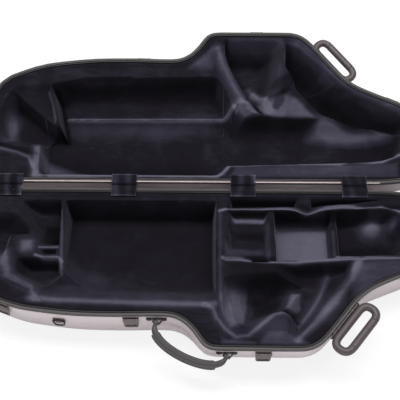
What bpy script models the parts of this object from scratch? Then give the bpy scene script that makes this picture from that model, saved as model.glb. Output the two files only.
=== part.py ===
"""Baritone saxophone case, lying open on its back.

X runs along the case from the crook end to the bow end. Y runs from the latches at -Y to the
hinges at +Y. Z is up. The base lies with its flat back on the floor, and the lid has fallen
open behind it. All lengths are in metres.
"""
import math

import bmesh
import bpy
import numpy as np
from mathutils import Matrix, Vector
from mathutils.geometry import delaunay_2d_cdt

# Overall size of the case
CASE_LENGTH = 1.220
BELL_WIDTH = 0.450
BASE_DEPTH = 0.115
LID_OPEN_DEGREES = 165.0

# Clearances that every fit uses
TOUCH_GAP = 0.0003
RUNNING_GAP = 0.0004
RIM_GAP = 0.0006
FLOOR_GAP = 0.0004
CUT_OVERRUN = 0.004
BORE_SIDES = 10
WELD_DISTANCE = 0.00001
SMOOTH_DEGREES = 40.0

# Moulded shells
SHELL_WALL = 0.0032
WALL_CURVE_SHARE = 0.80
WALL_STEPS = 5
DEGREES_PER_POINT = 14.0

# Rim trims, the tongue of the base and the groove of the lid
TRIM_WALL = 0.0015
TRIM_HEIGHT = 0.014
TRIM_WIDTH = 0.011
TRIM_INNER_HEIGHT = 0.0075
TONGUE_START = 0.0068
TONGUE_WIDTH = 0.0022
TONGUE_HEIGHT = 0.0030
GROOVE_SIDE_GAP = 0.0003
GROOVE_DEPTH = 0.0050
SEAL_HEIGHT = 0.0016

# Plush covered foam
LINING_DROP = 0.0015
LINING_GAP = 0.0008
BLOCK_GAP = 0.0008
LIP_RADIUS = 0.003
FOOT_SHARE = 0.45
POCKET_BLEND = 0.009
EDGE_FLANGE = 0.002
EDGE_RISE = 0.014
MIN_FOAM = 0.005
SURFACE_STEP = 0.0036
SURFACE_MARGIN = 0.012
BORDER_STEPS = 30
MERGE_STEPS = 0.001
SURFACE_POINTS = {"base": (190, 170, 470), "lid": (158, 210, 460)}
BLOCK_NAMES = ("crook_end", "trough", "bell_end")

# Hinges
HINGE_AXIS_OUT = 0.010
HINGE_WIDTH = 0.050
HINGE_LEAF_HEIGHT = 0.026
HINGE_LEAF_THICKNESS = 0.0016
HINGE_KNUCKLE_RADIUS = 0.0030
HINGE_SIDE_KNUCKLE = 0.012
HINGE_PIN_RADIUS = 0.0014
HINGE_PLACE_SHARES = (-0.435, -0.1885, 0.067, 0.306)

# Plush covers over the hinges
COVER_WIDTH = 0.066
COVER_THICKNESS = 0.0016
COVER_REACH = 0.022
COVER_RISE = 0.0016

# Latches
LATCH_WIDTH = 0.038
LATCH_PLATE_THICKNESS = 0.0018
LATCH_PLATE_TOP = 0.003
LATCH_AXIS_OUT = 0.0062
LATCH_AXIS_DROP = 0.0145
LATCH_BARREL_RADIUS = 0.0028
LATCH_SIDE_KNUCKLE = 0.0075
LATCH_PIN_RADIUS = 0.0013
LEVER_LENGTH = 0.038
LEVER_THICKNESS = 0.0024
LEVER_CORNER = 0.008
LEVER_TAPER = 0.0015
TOOTH_PLACE = 0.0290
TOOTH_THICKNESS = 0.0024
TOOTH_WIDTH = 0.026
KEEPER_WIDTH = 0.036
KEEPER_LIP_HEIGHT = 0.0036
KEEPER_BOTTOM = 0.0022
RIVET_RADIUS = 0.0022
RIVET_HEIGHT = 0.0009
HEAD_SIDES = 8
HEAD_TOP_SHARE = 0.6
LATCH_PLACE_SHARES = (-0.413, -0.1566, 0.1012, 0.4016)

# Carry handle on the front wall
BRACKET_PLACE_SHARES = (-0.1066, 0.0311)
BRACKET_WIDTH = 0.050
BRACKET_HEIGHT = 0.0135
BRACKET_THICKNESS = 0.0024
BRACKET_DROP = 0.0150
EAR_THICKNESS = 0.0022
EAR_REACH = 0.0125
EAR_SLOT = 0.0134
EAR_HEIGHT = 0.0105
EYE_RADIUS = 0.0044
EYE_PIN_RADIUS = 0.0018
STRAP_WIDTH = 0.0124
STRAP_THICKNESS = 0.0046
GRIP_WIDTH = 0.021
GRIP_THICKNESS = 0.019
GRIP_BORE_GAP = 0.0005
HANDLE_BULGE = 0.049
HANDLE_DROOP_DEGREES = 25.0
GRIP_START_SHARE = 0.15
GRIP_END_SHARE = 0.80
HANDLE_CURVE_SHARE = 0.80
STRAP_STEPS = 16
GRIP_STEPS = 9
EYE_TAB_SHARE = 0.67
BRACKET_SCREW_RADIUS = 0.0034
BRACKET_SCREW_HEIGHT = 0.0014

# Side handles on the slanting wall
SIDE_HANDLE_PLACE_SHARE = 0.2600
SIDE_HANDLE_LENGTH = 0.154
SIDE_HANDLE_REACH = 0.064
SIDE_HANDLE_TUBE_RADIUS = 0.0092
SIDE_HANDLE_CORNER = 0.026
BASE_SIDE_HANDLE_DROP = 0.0165
LID_SIDE_HANDLE_DROP = 0.0450
SIDE_PLATE_LENGTH = 0.116
SIDE_PLATE_WIDTH = 0.024
SIDE_PLATE_THICKNESS = 0.0035
SIDE_SCREW_RADIUS = 0.0036
SIDE_SCREW_HEIGHT = 0.0014

# Rings for a shoulder strap
STRAP_RING_PLACE_SHARES = (-0.3010, 0.4420)
STRAP_RING_DROP = 0.042
STRAP_RING_WIDTH = 0.036
STRAP_RING_HEIGHT = 0.026
STRAP_RING_WIRE = 0.0021
STRAP_RING_CORNER = 0.0075
STRAP_RING_FOOT_SHARE = 0.67
LUG_WIDTH = 0.030
LUG_HEIGHT = 0.016
LUG_THICKNESS = 0.0022
LUG_LOOP_WIDTH = 0.0110
LUG_LOOP_WALL = 0.0016
LUG_RIVET_SPACING = 0.021
LUG_RIVET_RISE = 0.0050

# Outline: shares of the length and of the bell width, first at the rim and then at the back.
# It runs from the crook end along the latch side, round the bow end and back along the hinges.
HINGE_SIDE_BACK_SHARE = 0.062
OUTLINE_SHARES = (
    (-0.500, 0.378, -0.470, 0.378),
    (-0.496, 0.516, -0.467, 0.500),
    (-0.484, 0.622, -0.457, 0.590),
    (-0.464, 0.678, -0.441, 0.640),
    (-0.446, 0.707, -0.427, 0.663),
    (-0.393, 0.761, -0.382, 0.712),
    (-0.349, 0.786, -0.342, 0.737),
    (-0.270, 0.809, -0.266, 0.764),
    (-0.189, 0.814, -0.187, 0.771),
    (-0.115, 0.810, -0.117, 0.768),
    (-0.088, 0.811, -0.094, 0.767),
    (-0.069, 0.821, -0.078, 0.768),
    (-0.050, 0.852, -0.062, 0.772),
    (-0.034, 0.899, -0.047, 0.779),
    (-0.019, 0.957, -0.032, 0.788),
    (-0.007, 0.986, -0.018, 0.795),
    (0.012, 0.999, 0.004, 0.801),
    (0.057, 1.000, 0.052, 0.804),
    (0.161, 1.000, 0.158, 0.802),
    (0.187, 0.994, 0.182, 0.797),
    (0.206, 0.973, 0.200, 0.785),
    (0.225, 0.929, 0.219, 0.764),
    (0.256, 0.827, 0.247, 0.715),
    (0.287, 0.722, 0.274, 0.657),
    (0.308, 0.668, 0.295, 0.617),
    (0.331, 0.627, 0.320, 0.582),
    (0.366, 0.582, 0.358, 0.543),
    (0.416, 0.524, 0.407, 0.482),
    (0.451, 0.469, 0.437, 0.428),
    (0.480, 0.389, 0.458, 0.357),
    (0.498, 0.289, 0.469, 0.279),
    (0.498, 0.189, 0.469, 0.201),
    (0.482, 0.100, 0.456, 0.136),
    (0.451, 0.042, 0.433, 0.096),
    (0.407, 0.012, 0.400, 0.076),
    (0.352, 0.000, 0.350, 0.064),
    (0.246, 0.000, 0.246, HINGE_SIDE_BACK_SHARE),
    (-0.246, 0.000, -0.246, HINGE_SIDE_BACK_SHARE),
    (-0.440, 0.000, -0.430, HINGE_SIDE_BACK_SHARE),
    (-0.465, 0.000, -0.448, 0.066),
    (-0.485, 0.020, -0.461, 0.086),
    (-0.496, 0.078, -0.468, 0.132),
    (-0.500, 0.210, -0.470, 0.234),
)
FRONT_START_SHARE = -0.49
FRONT_END_SHARE = 0.49

# Foam blocks: where the seams cross the length, as shares of it
BASE_SEAM_SHARES = (-0.3060, 0.0140)
LID_SEAM_SHARES = (-0.3770, 0.0260)

# Landscape of the linings, the base's and then the lid's, in shares. X counts from the middle in
# case lengths, W from the hinge edge in bell widths, like all widths, and heights are shares of the
# depth of the half. A pocket has its floor and the corners of a convex outline, each with the width
# of the sloping wall along the edge that starts there. A pad has its height, its centre and its two
# radii. Ridges and grooves have a height, a width and the points of their line.
BASE_POCKET_SHARES = (
    (0.817, ((-0.3098, 0.0667, 0.027), (0.0098, 0.0667, 0.022), (0.0115, 0.7511, 0.211),
             (-0.1066, 0.7489, 0.211), (-0.2705, 0.7378, 0.133), (-0.2984, 0.5556, 0.020),
             (-0.2992, 0.4222, 0.020))),
    (0.678, ((-0.3377, 0.5156, 0.111), (-0.2787, 0.5156, 0.002), (-0.2787, 0.7400, 0.200),
             (-0.3541, 0.7067, 0.111))),
    (0.539, ((-0.4074, 0.0800, 0.027), (-0.3180, 0.0800, 0.018), (-0.3115, 0.3800, 0.018),
             (-0.3557, 0.3800, 0.080), (-0.4074, 0.1244, 0.031))),
    (0.226, ((-0.3557, 0.3867, 0.018), (-0.3139, 0.3867, 0.018), (-0.3139, 0.4422, 0.020),
             (-0.3525, 0.4422, 0.018))),
    (0.504, ((-0.4000, 0.4489, 0.022), (-0.3107, 0.4444, 0.018), (-0.3066, 0.5822, 0.089),
             (-0.3377, 0.6444, 0.100), (-0.3918, 0.5822, 0.076))),
    (0.574, ((-0.4852, 0.2222, 0.067), (-0.4590, 0.1467, 0.067), (-0.4139, 0.1378, 0.078),
             (-0.3754, 0.2578, 0.022), (-0.3730, 0.3156, 0.027), (-0.4852, 0.3156, 0.067))),
    (0.574, ((-0.4852, 0.2222, 0.067), (-0.4590, 0.1556, 0.067), (-0.4262, 0.1467, 0.067),
             (-0.4082, 0.2667, 0.067), (-0.4115, 0.4556, 0.111), (-0.4221, 0.5511, 0.200),
             (-0.4590, 0.5822, 0.200), (-0.4852, 0.4667, 0.089))),
    (0.391, ((0.0369, 0.0422, 0.013), (0.1869, 0.0422, 0.018), (0.1836, 0.1044, 0.016),
             (0.0369, 0.1133, 0.018))),
    (0.391, ((0.2090, 0.0444, 0.013), (0.3934, 0.0489, 0.018), (0.4033, 0.0889, 0.016),
             (0.2705, 0.0978, 0.016), (0.2066, 0.1200, 0.016))),
    (0.296, ((0.0344, 0.1222, 0.022), (0.1230, 0.1178, 0.022), (0.1230, 0.4400, 0.067),
             (0.0311, 0.4333, 0.031))),
    (0.557, ((0.0295, 0.1911, 0.053), (0.1230, 0.1911, 0.027), (0.1230, 0.4444, 0.133),
             (0.0295, 0.4378, 0.027))),
    (0.817, ((0.1287, 0.1222, 0.027), (0.2525, 0.1156, 0.031), (0.2492, 0.4378, 0.018),
             (0.1311, 0.4578, 0.022))),
    (0.652, ((0.2500, 0.1111, 0.031), (0.3934, 0.1222, 0.067), (0.4098, 0.2444, 0.056),
             (0.3934, 0.4222, 0.036), (0.2500, 0.4333, 0.031))),
    (0.417, ((0.1967, 0.1200, 0.027), (0.3443, 0.1156, 0.002), (0.3443, 0.4267, 0.031),
             (0.1967, 0.4400, 0.002))),
    (0.843, ((0.0213, 0.4667, 0.102), (0.1230, 0.4844, 0.102), (0.1762, 0.4800, 0.102),
             (0.2393, 0.4533, 0.089), (0.1844, 0.7511, 0.156), (0.0697, 0.9244, 0.200),
             (0.0344, 0.9244, 0.133), (0.0098, 0.8267, 0.058))),
    (0.504, ((0.1230, 0.4711, 0.040), (0.2885, 0.4400, 0.027), (0.2836, 0.5822, 0.084),
             (0.1680, 0.9422, 0.089), (0.1230, 0.8889, 0.133))),
)
BASE_PAD_SHARES = (
    (0.070, -0.3828, 0.3733, 0.0295, 0.0756),
    (0.313, 0.3443, 0.1911, 0.0426, 0.0800),
    (0.400, 0.0410, 0.7222, 0.0361, 0.1778),
    (0.296, 0.1623, 0.6667, 0.0213, 0.1067),
    (0.313, 0.1311, 0.8356, 0.0361, 0.0756),
    (-0.122, 0.2066, 0.1156, 0.0213, 0.0267),
)
BASE_RIDGE_SHARES = (
)
BASE_GROOVE_SHARES = (
    (0.113, 0.009, ((0.1410, 0.7578), (0.1639, 0.7778), (0.1746, 0.8222), (0.1697, 0.8667))),
    (0.078, 0.013, ((0.0369, 0.1111), (0.1926, 0.1111), (0.4016, 0.1067))),
    (0.087, 0.016, ((0.0311, 0.4556), (0.2459, 0.4444), (0.3934, 0.4267))),
    (0.070, 0.009, ((0.0852, 0.4578), (0.1164, 0.4600))),
)
LID_POCKET_SHARES = (
    (0.770, ((-0.2541, 0.0422, 0.022), (0.0115, 0.0422, 0.022), (0.0328, 0.1067, 0.002),
             (0.0787, 0.2667, 0.002), (0.0557, 0.4556, 0.044), (0.0115, 0.7200, 0.062),
             (-0.1230, 0.7133, 0.058), (-0.2541, 0.7089, 0.002))),
    (0.770, ((-0.3787, 0.0422, 0.022), (-0.2377, 0.0422, 0.002), (-0.2377, 0.3111, 0.002),
             (-0.3279, 0.3111, 0.002), (-0.3787, 0.2400, 0.020))),
    (0.770, ((-0.3328, 0.2444, 0.002), (-0.2377, 0.2444, 0.002), (-0.2377, 0.7111, 0.058),
             (-0.3115, 0.6978, 0.058), (-0.3689, 0.6489, 0.018))),
    (0.778, ((0.0098, 0.1022, 0.027), (0.3607, 0.1333, 0.031), (0.4082, 0.1733, 0.044),
             (0.4230, 0.3111, 0.178), (0.3607, 0.5333, 0.142), (0.0590, 0.5333, 0.002),
             (0.0000, 0.1333, 0.002))),
    (0.700, ((-0.4754, 0.2622, 0.071), (-0.3836, 0.2200, 0.044), (-0.3033, 0.2200, 0.002),
             (-0.3033, 0.2978, 0.049), (-0.4492, 0.6333, 0.067), (-0.4770, 0.5333, 0.067))),
    (0.280, ((-0.4590, 0.3111, 0.044), (-0.3279, 0.3111, 0.044), (-0.3525, 0.5822, 0.018),
             (-0.3705, 0.6667, 0.058), (-0.4590, 0.6444, 0.058))),
    (0.824, ((0.0180, 0.9600, 0.036), (0.0197, 0.8844, 0.040), (0.0492, 0.6600, 0.044),
             (0.0836, 0.5244, 0.044), (0.1230, 0.4711, 0.133), (0.1590, 0.6889, 0.111),
             (0.1689, 0.9600, 0.076))),
    (0.358, ((0.0492, 0.3778, 0.044), (0.2459, 0.3333, 0.067), (0.4098, 0.2444, 0.044),
             (0.4262, 0.3556, 0.044), (0.2705, 0.6667, 0.044), (0.1844, 0.7556, 0.067),
             (0.1230, 0.6889, 0.089), (0.0738, 0.5467, 0.067))),
    (0.739, ((0.1639, 0.9422, 0.022), (0.1598, 0.7778, 0.027), (0.1934, 0.6356, 0.002),
             (0.2689, 0.7644, 0.111), (0.2426, 0.8756, 0.111), (0.2049, 0.9556, 0.076))),
    (0.739, ((0.1836, 0.6578, 0.027), (0.2426, 0.4711, 0.027), (0.2885, 0.4133, 0.002),
             (0.3484, 0.5822, 0.111), (0.3049, 0.6578, 0.111), (0.2607, 0.7822, 0.002))),
    (0.739, ((0.2738, 0.4356, 0.027), (0.4098, 0.3333, 0.031), (0.4385, 0.3778, 0.067),
             (0.4262, 0.5000, 0.111), (0.3607, 0.5689, 0.111), (0.3246, 0.6222, 0.002))),
)
LID_PAD_SHARES = (
    (0.093, 0.1516, 0.7778, 0.0246, 0.2000),
)
LID_RIDGE_SHARES = (
    (0.156, 0.018, ((-0.3295, 0.4867), (0.0508, 0.4844))),
    (0.093, 0.016, ((-0.3492, 0.4000), (-0.3557, 0.5000), (-0.3689, 0.6000))),
    (0.070, 0.013, ((-0.4754, 0.2156), (-0.4262, 0.1822), (-0.4016, 0.1511), (-0.3918, 0.1000),
             (-0.3885, 0.0333))),
    (0.062, 0.011, ((-0.4754, 0.2578), (-0.4344, 0.2311), (-0.4016, 0.2178), (-0.3820, 0.2111),
             (-0.3787, 0.0333))),
    (0.078, 0.018, ((0.0115, 0.8889), (0.0246, 0.7667), (0.0508, 0.6111), (0.0754, 0.4933),
             (0.1230, 0.4622))),
)
LID_GROOVE_SHARES = (
    (0.062, 0.013, ((-0.4689, 0.2356), (-0.4098, 0.1867), (-0.3869, 0.1778))),
    (0.070, 0.011, ((0.0787, 0.5467), (0.1164, 0.4756))),
    (0.062, 0.011, ((0.1377, 0.5956), (0.1754, 0.6533))),
)
LANDSCAPE_SHARES = {
    "base": (BASE_POCKET_SHARES, BASE_PAD_SHARES, BASE_RIDGE_SHARES, BASE_GROOVE_SHARES),
    "lid": (LID_POCKET_SHARES, LID_PAD_SHARES, LID_RIDGE_SHARES, LID_GROOVE_SHARES),
}

# Colours, roughness and metallic values of the finishes
FINISHES = {
    "silver_shell": ((0.53, 0.46, 0.48), 0.42, 0.0),
    "rim_trim": ((0.10, 0.087, 0.089), 0.45, 0.3),
    "rubber": ((0.012, 0.012, 0.013), 0.8, 0.0),
    "plush": ((0.035, 0.033, 0.046), 0.95, 0.0),
    "latch_metal": ((0.19, 0.165, 0.165), 0.4, 0.6),
    "bright_steel": ((0.50, 0.48, 0.48), 0.35, 1.0),
    "dark_steel": ((0.05, 0.045, 0.046), 0.45, 0.8),
    "handle_leather": ((0.15, 0.127, 0.13), 0.6, 0.0),
    "handle_plastic": ((0.16, 0.137, 0.14), 0.5, 0.0),
}

# Sizes that follow from the ones above
HINGE_EDGE_Y = BELL_WIDTH / 2
HINGE_AXIS_Y = HINGE_EDGE_Y + HINGE_AXIS_OUT
LID_LEAN = math.radians(180.0 - LID_OPEN_DEGREES)
SHELL_INSET = TRIM_WALL + TOUCH_GAP
BACK_HINGE_INSET = HINGE_SIDE_BACK_SHARE * BELL_WIDTH
LID_DEPTH = math.sqrt(
    (BASE_DEPTH - FLOOR_GAP + (HINGE_AXIS_OUT + BACK_HINGE_INSET) * math.sin(LID_LEAN)) ** 2
    - (BACK_HINGE_INSET * math.sin(LID_LEAN)) ** 2
) / math.cos(LID_LEAN)


# Scene and objects

def clear_scene():
    for item in list(bpy.data.objects):
        bpy.data.objects.remove(item, do_unlink=True)
    for group in list(bpy.data.collections):
        bpy.data.collections.remove(group)


def add_collection(name):
    collection = bpy.data.collections.new(name)
    bpy.context.scene.collection.children.link(collection)
    return collection


def add_finish(name):
    """One Principled material from the table of finishes."""
    colour, roughness, metallic = FINISHES[name]
    material = bpy.data.materials.new(name)
    material.use_nodes = True
    shader = material.node_tree.nodes["Principled BSDF"]
    shader.inputs["Base Color"].default_value = (*colour, 1.0)
    shader.inputs["Roughness"].default_value = roughness
    shader.inputs["Metallic"].default_value = metallic
    material.diffuse_color = (*colour, 1.0)
    return material


def add_empty(name, matrix, parent=None):
    empty = bpy.data.objects.new(name, None)
    parts.objects.link(empty)
    empty.parent = parent
    empty.matrix_basis = matrix
    return empty


def object_from_bmesh(name, bm, finish=None, parent=None):
    """Close the bmesh into an object; without a finish it is a cutter."""
    bmesh.ops.recalc_face_normals(bm, faces=bm.faces)
    mesh = bpy.data.meshes.new(name)
    bm.to_mesh(mesh)
    bm.free()
    item = bpy.data.objects.new(name, mesh)
    if finish:
        parts.objects.link(item)
        mesh.materials.append(finishes[finish])
        mesh.shade_smooth()
        mesh.set_sharp_from_angle(angle=math.radians(SMOOTH_DEGREES))
    else:
        cutters.objects.link(item)
        item.display_type = "WIRE"
        item.hide_render = True
    item.parent = parent
    return item


def add_boolean(item, cutter, operation):
    modifier = item.modifiers.new(operation.title(), "BOOLEAN")
    modifier.operation = operation
    modifier.object = cutter
    modifier.solver = "EXACT"


# Building blocks

def add_box(name, low, high, finish=None, parent=None):
    """A box between two corners."""
    bm = bmesh.new()
    bmesh.ops.create_cube(bm, size=1.0)
    size = Vector(high) - Vector(low)
    middle = (Vector(high) + Vector(low)) / 2
    bmesh.ops.scale(bm, vec=size, verts=bm.verts)
    bmesh.ops.translate(bm, vec=middle, verts=bm.verts)
    return object_from_bmesh(name, bm, finish, parent)


def add_rod(name, start, end, radius, finish=None, parent=None, sides=16):
    """A round rod between two points."""
    start = Vector(start)
    end = Vector(end)
    bm = bmesh.new()
    bmesh.ops.create_cone(bm, cap_ends=True, segments=sides, radius1=radius, radius2=radius,
                          depth=(end - start).length)
    turn = Vector((0, 0, 1)).rotation_difference(end - start).to_matrix()
    bmesh.ops.rotate(bm, matrix=turn, verts=bm.verts)
    bmesh.ops.translate(bm, vec=(start + end) / 2, verts=bm.verts)
    return object_from_bmesh(name, bm, finish, parent)


def add_loft(name, rings, finish=None, parent=None, caps=(True, True), closed=False):
    """Faces between rings of equal count; closed joins the last ring to the first."""
    bm = bmesh.new()
    rows = [[bm.verts.new(point) for point in ring] for ring in rings]
    count = len(rings[0])
    pairs = list(zip(rows, rows[1:]))
    if closed:
        pairs.append((rows[-1], rows[0]))
    for lower, upper in pairs:
        for k in range(count):
            after = (k + 1) % count
            bm.faces.new((lower[k], lower[after], upper[after], upper[k]))
    if caps[0] and not closed:
        bm.faces.new(rows[0])
    if caps[1] and not closed:
        bm.faces.new(rows[-1])
    return object_from_bmesh(name, bm, finish, parent)


def mesh_from_curve(name, curve, finish=None, parent=None):
    """Turn a curve into a mesh with welded caps."""
    source = bpy.data.objects.new(name + "_curve", curve)
    cutters.objects.link(source)
    bpy.context.view_layer.update()
    graph = bpy.context.evaluated_depsgraph_get()
    mesh = bpy.data.meshes.new_from_object(source.evaluated_get(graph))
    bpy.data.objects.remove(source, do_unlink=True)
    bpy.data.curves.remove(curve)
    bm = bmesh.new()
    bm.from_mesh(mesh)
    bpy.data.meshes.remove(mesh)
    bmesh.ops.remove_doubles(bm, verts=bm.verts, dist=WELD_DISTANCE)
    return object_from_bmesh(name, bm, finish, parent)


def add_plate(name, points, thickness, frame, finish=None, parent=None):
    """A flat outline as thick as asked, its lower face on the frame's XY plane."""
    curve = bpy.data.curves.new(name, "CURVE")
    curve.dimensions = "2D"
    curve.fill_mode = "BOTH"
    curve.extrude = thickness / 2
    spline = curve.splines.new("POLY")
    spline.points.add(len(points) - 1)
    for target, point in zip(spline.points, points):
        target.co = (point[0], point[1], 0.0, 1.0)
    spline.use_cyclic_u = True
    item = mesh_from_curve(name, curve, finish, parent)
    item.data.transform(frame @ Matrix.Translation((0, 0, thickness / 2)))
    return item


def add_loop(name, path, radius, sides, normal, finish, parent):
    """A rod bent into a closed loop in the plane square to the normal."""
    rings = []
    count = len(path)
    for k, point in enumerate(path):
        along = (path[(k + 1) % count] - path[k - 1]).normalized()
        across = along.cross(normal)
        ring = []
        for side in range(sides):
            angle = 2 * math.pi * (side + 0.5) / sides
            ring.append(point + (across * math.cos(angle) + normal * math.sin(angle)) * radius)
        rings.append(ring)
    return add_loft(name, rings, finish, parent, closed=True)


def rounded_corners(corners, radii, steps=3):
    """Replace each corner of a flat outline by an arc; a radius of zero keeps the corner."""
    points = []
    count = len(corners)
    for k, radius in enumerate(radii):
        before = Vector(corners[k - 1])
        corner = Vector(corners[k])
        after = Vector(corners[(k + 1) % count])
        if not radius:
            points.append(corner)
            continue
        to_before = (before - corner).normalized()
        to_after = (after - corner).normalized()
        half = to_before.angle(to_after) / 2
        reach = min(radius / math.tan(half), (before - corner).length / 2,
                    (after - corner).length / 2)
        start = corner + to_before * reach
        end = corner + to_after * reach
        for step in range(steps + 1):
            t = step / steps
            points.append(start * (1 - t) ** 2 + corner * 2 * t * (1 - t) + end * t ** 2)
    return points


# Outline of the case

def spline_point(before, start, end, after, t):
    """A point on a smooth curve through start and end."""
    return 0.5 * (2 * start + (end - before) * t
                  + (2 * before - 5 * start + 4 * end - after) * t ** 2
                  + (3 * start - before - 3 * end + after) * t ** 3)


def outline_places():
    """Where the outline is read: a row number and a share of the way to the next row."""
    places = []
    count = len(OUTLINE_SHARES)
    rim = [Vector((row[0] * CASE_LENGTH, row[1] * BELL_WIDTH)) for row in OUTLINE_SHARES]
    for k in range(count):
        arriving = rim[k] - rim[k - 1]
        chord = rim[(k + 1) % count] - rim[k]
        leaving = rim[(k + 2) % count] - rim[(k + 1) % count]
        turn = math.degrees(arriving.angle(chord) + chord.angle(leaving)) / 2
        steps = max(1, round(turn / DEGREES_PER_POINT))
        places.extend((k, step / steps) for step in range(steps))
    return places


def read_outline(first_column):
    """The smooth outline of the rim (column 0) or of the back (column 2), seen from above."""
    rows = [Vector((row[first_column] * CASE_LENGTH,
                    HINGE_EDGE_Y - row[first_column + 1] * BELL_WIDTH)) for row in OUTLINE_SHARES]
    count = len(rows)
    points = []
    for k, t in outline_places():
        straight = rows[k - 1].y == rows[k].y == rows[(k + 1) % count].y
        straight = straight or rows[k].y == rows[(k + 1) % count].y == rows[(k + 2) % count].y
        if straight:
            points.append(rows[k].lerp(rows[(k + 1) % count], t))
        else:
            points.append(spline_point(rows[k - 1], rows[k], rows[(k + 1) % count],
                                       rows[(k + 2) % count], t))
    return points


def inset_outline(points, inset):
    """Move every point of an outline inwards by the inset."""
    moved = []
    count = len(points)
    for k, point in enumerate(points):
        arriving = (point - points[k - 1]).normalized()
        leaving = (points[(k + 1) % count] - point).normalized()
        along = (arriving + leaving).normalized()
        inward = Vector((-along.y, along.x))
        stretch = 1 / max(along.dot(leaving), 0.5)
        moved.append(point + inward * inset * stretch)
    return moved


def hull_rings(depth, inset, side):
    """Rings of a half's wall, from the rim to the back; side is -1 for the base, 1 for the lid.

    The wall is upright behind the rim trim and then curves in to the flat back.
    """
    rim = inset_outline(read_outline(0), inset)
    back = inset_outline(read_outline(2), inset - SHELL_INSET)
    curved = depth - (inset - SHELL_INSET) - TRIM_HEIGHT
    rings = [[Vector((*point, 0)) for point in rim]]
    for step in range(WALL_STEPS + 1):
        angle = math.pi / 2 * step / WALL_STEPS
        drawn_in = 1 - math.cos(angle) ** WALL_CURVE_SHARE if step < WALL_STEPS else 1.0
        height = side * (TRIM_HEIGHT + curved * math.sin(angle) ** WALL_CURVE_SHARE)
        rings.append([Vector((*a.lerp(b, drawn_in), height)) for a, b in zip(rim, back)])
    return rings


def wall_outline(drop, depth=BASE_DEPTH):
    """The outside of the wall of a half of that depth at a distance behind the rim."""
    if not drop:
        return read_outline(0)
    rings = hull_rings(depth, SHELL_INSET, -1)
    for upper, lower in zip(rings, rings[1:]):
        if lower[0].z <= -drop <= upper[0].z:
            t = (upper[0].z + drop) / (upper[0].z - lower[0].z)
            return [a.lerp(b, t).to_2d() for a, b in zip(upper, lower)]


def wall_frame(place_share, half_width, drop=0.0, depth=BASE_DEPTH):
    """Seat of a flat plate on the latch side: X along the wall, Y inwards, Z up.

    The seat stands off far enough for the plate to clear a wall that bows out beside it.
    """
    x = place_share * CASE_LENGTH
    low = FRONT_START_SHARE * CASE_LENGTH
    high = FRONT_END_SHARE * CASE_LENGTH
    points = [p for p in wall_outline(drop, depth)
              if low <= p.x <= high and p.y < HINGE_EDGE_Y / 2]
    for a, b in zip(points, points[1:]):
        if a.x <= x <= b.x:
            along = (b - a).normalized()
            here = a.lerp(b, (x - a.x) / (b.x - a.x))
            break
    inward = Vector((-along.y, along.x))
    flat = [((p - here).dot(along), (p - here).dot(inward)) for p in points]
    bow = 0.0
    for (x1, y1), (x2, y2) in zip(flat, flat[1:]):
        for edge in (-half_width, half_width):
            if x1 < edge <= x2:
                bow = min(bow, y1 + (y2 - y1) * (edge - x1) / (x2 - x1))
        if -half_width < x1 < half_width:
            bow = min(bow, y1)
    here = here + inward * bow
    return Matrix(((along.x, inward.x, 0, here.x), (along.y, inward.y, 0, here.y),
                   (0, 0, 1, -drop), (0, 0, 0, 1)))


def upright_frame(y):
    """Frame of an upright plate: its outline in X and Z, its thickness outwards from y."""
    return Matrix(((1, 0, 0, 0), (0, 0, -1, y), (0, 1, 0, 0), (0, 0, 0, 1)))


def section_frame(x):
    """Frame of a side view: its outline in Y and Z, its thickness along X from x."""
    return Matrix(((0, 0, 1, x), (1, 0, 0, 0), (0, 1, 0, 0), (0, 0, 0, 1)))


def hinge_frame(place_share):
    """Frame on the hinge axis: X along it, Y away from the case."""
    return Matrix.Translation((place_share * CASE_LENGTH, HINGE_AXIS_Y, 0))


# Shells, rim trims and seal

def build_shell(name, depth, side, parent):
    """One moulded half: an open loft made as thick as its wall."""
    rings = hull_rings(depth, SHELL_INSET, side)
    start = TRIM_WALL + RIM_GAP
    rings[0] = [point + Vector((0, 0, side * start)) for point in rings[0]]
    shell = add_loft(name, rings, "silver_shell", parent, caps=(False, True))
    shell.data.update()
    if not faces_outward(shell.data, side):
        shell.data.flip_normals()
    skin = shell.modifiers.new("Wall", "SOLIDIFY")
    skin.thickness = SHELL_WALL
    skin.offset = -1.0
    skin.use_even_offset = True
    return shell


def faces_outward(mesh, side):
    """Whether the flat back of a half faces away from its rim."""
    back = max(mesh.polygons, key=lambda face: face.area)
    return back.normal.z * side > 0


def sweep_profile(name, profile, finish, parent):
    """Carry a profile of inset and height round the rim."""
    rim = read_outline(0)
    rings = []
    for inset, height in profile:
        rings.append([Vector((*point, height)) for point in inset_outline(rim, inset)])
    return add_loft(name, rings, finish, parent, closed=True)


def trim_profile(side):
    """The channel that caps a half's wall, before its tongue or groove."""
    face = RIM_GAP / 2
    top = face + TRIM_WALL
    wall_end = SHELL_INSET + SHELL_WALL + TOUCH_GAP
    return face, [(0.0, side * face), (0.0, side * TRIM_HEIGHT), (TRIM_WALL, side * TRIM_HEIGHT),
                  (TRIM_WALL, side * top), (wall_end, side * top),
                  (wall_end, side * TRIM_INNER_HEIGHT), (TRIM_WIDTH, side * TRIM_INNER_HEIGHT),
                  (TRIM_WIDTH, side * face)]


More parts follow.
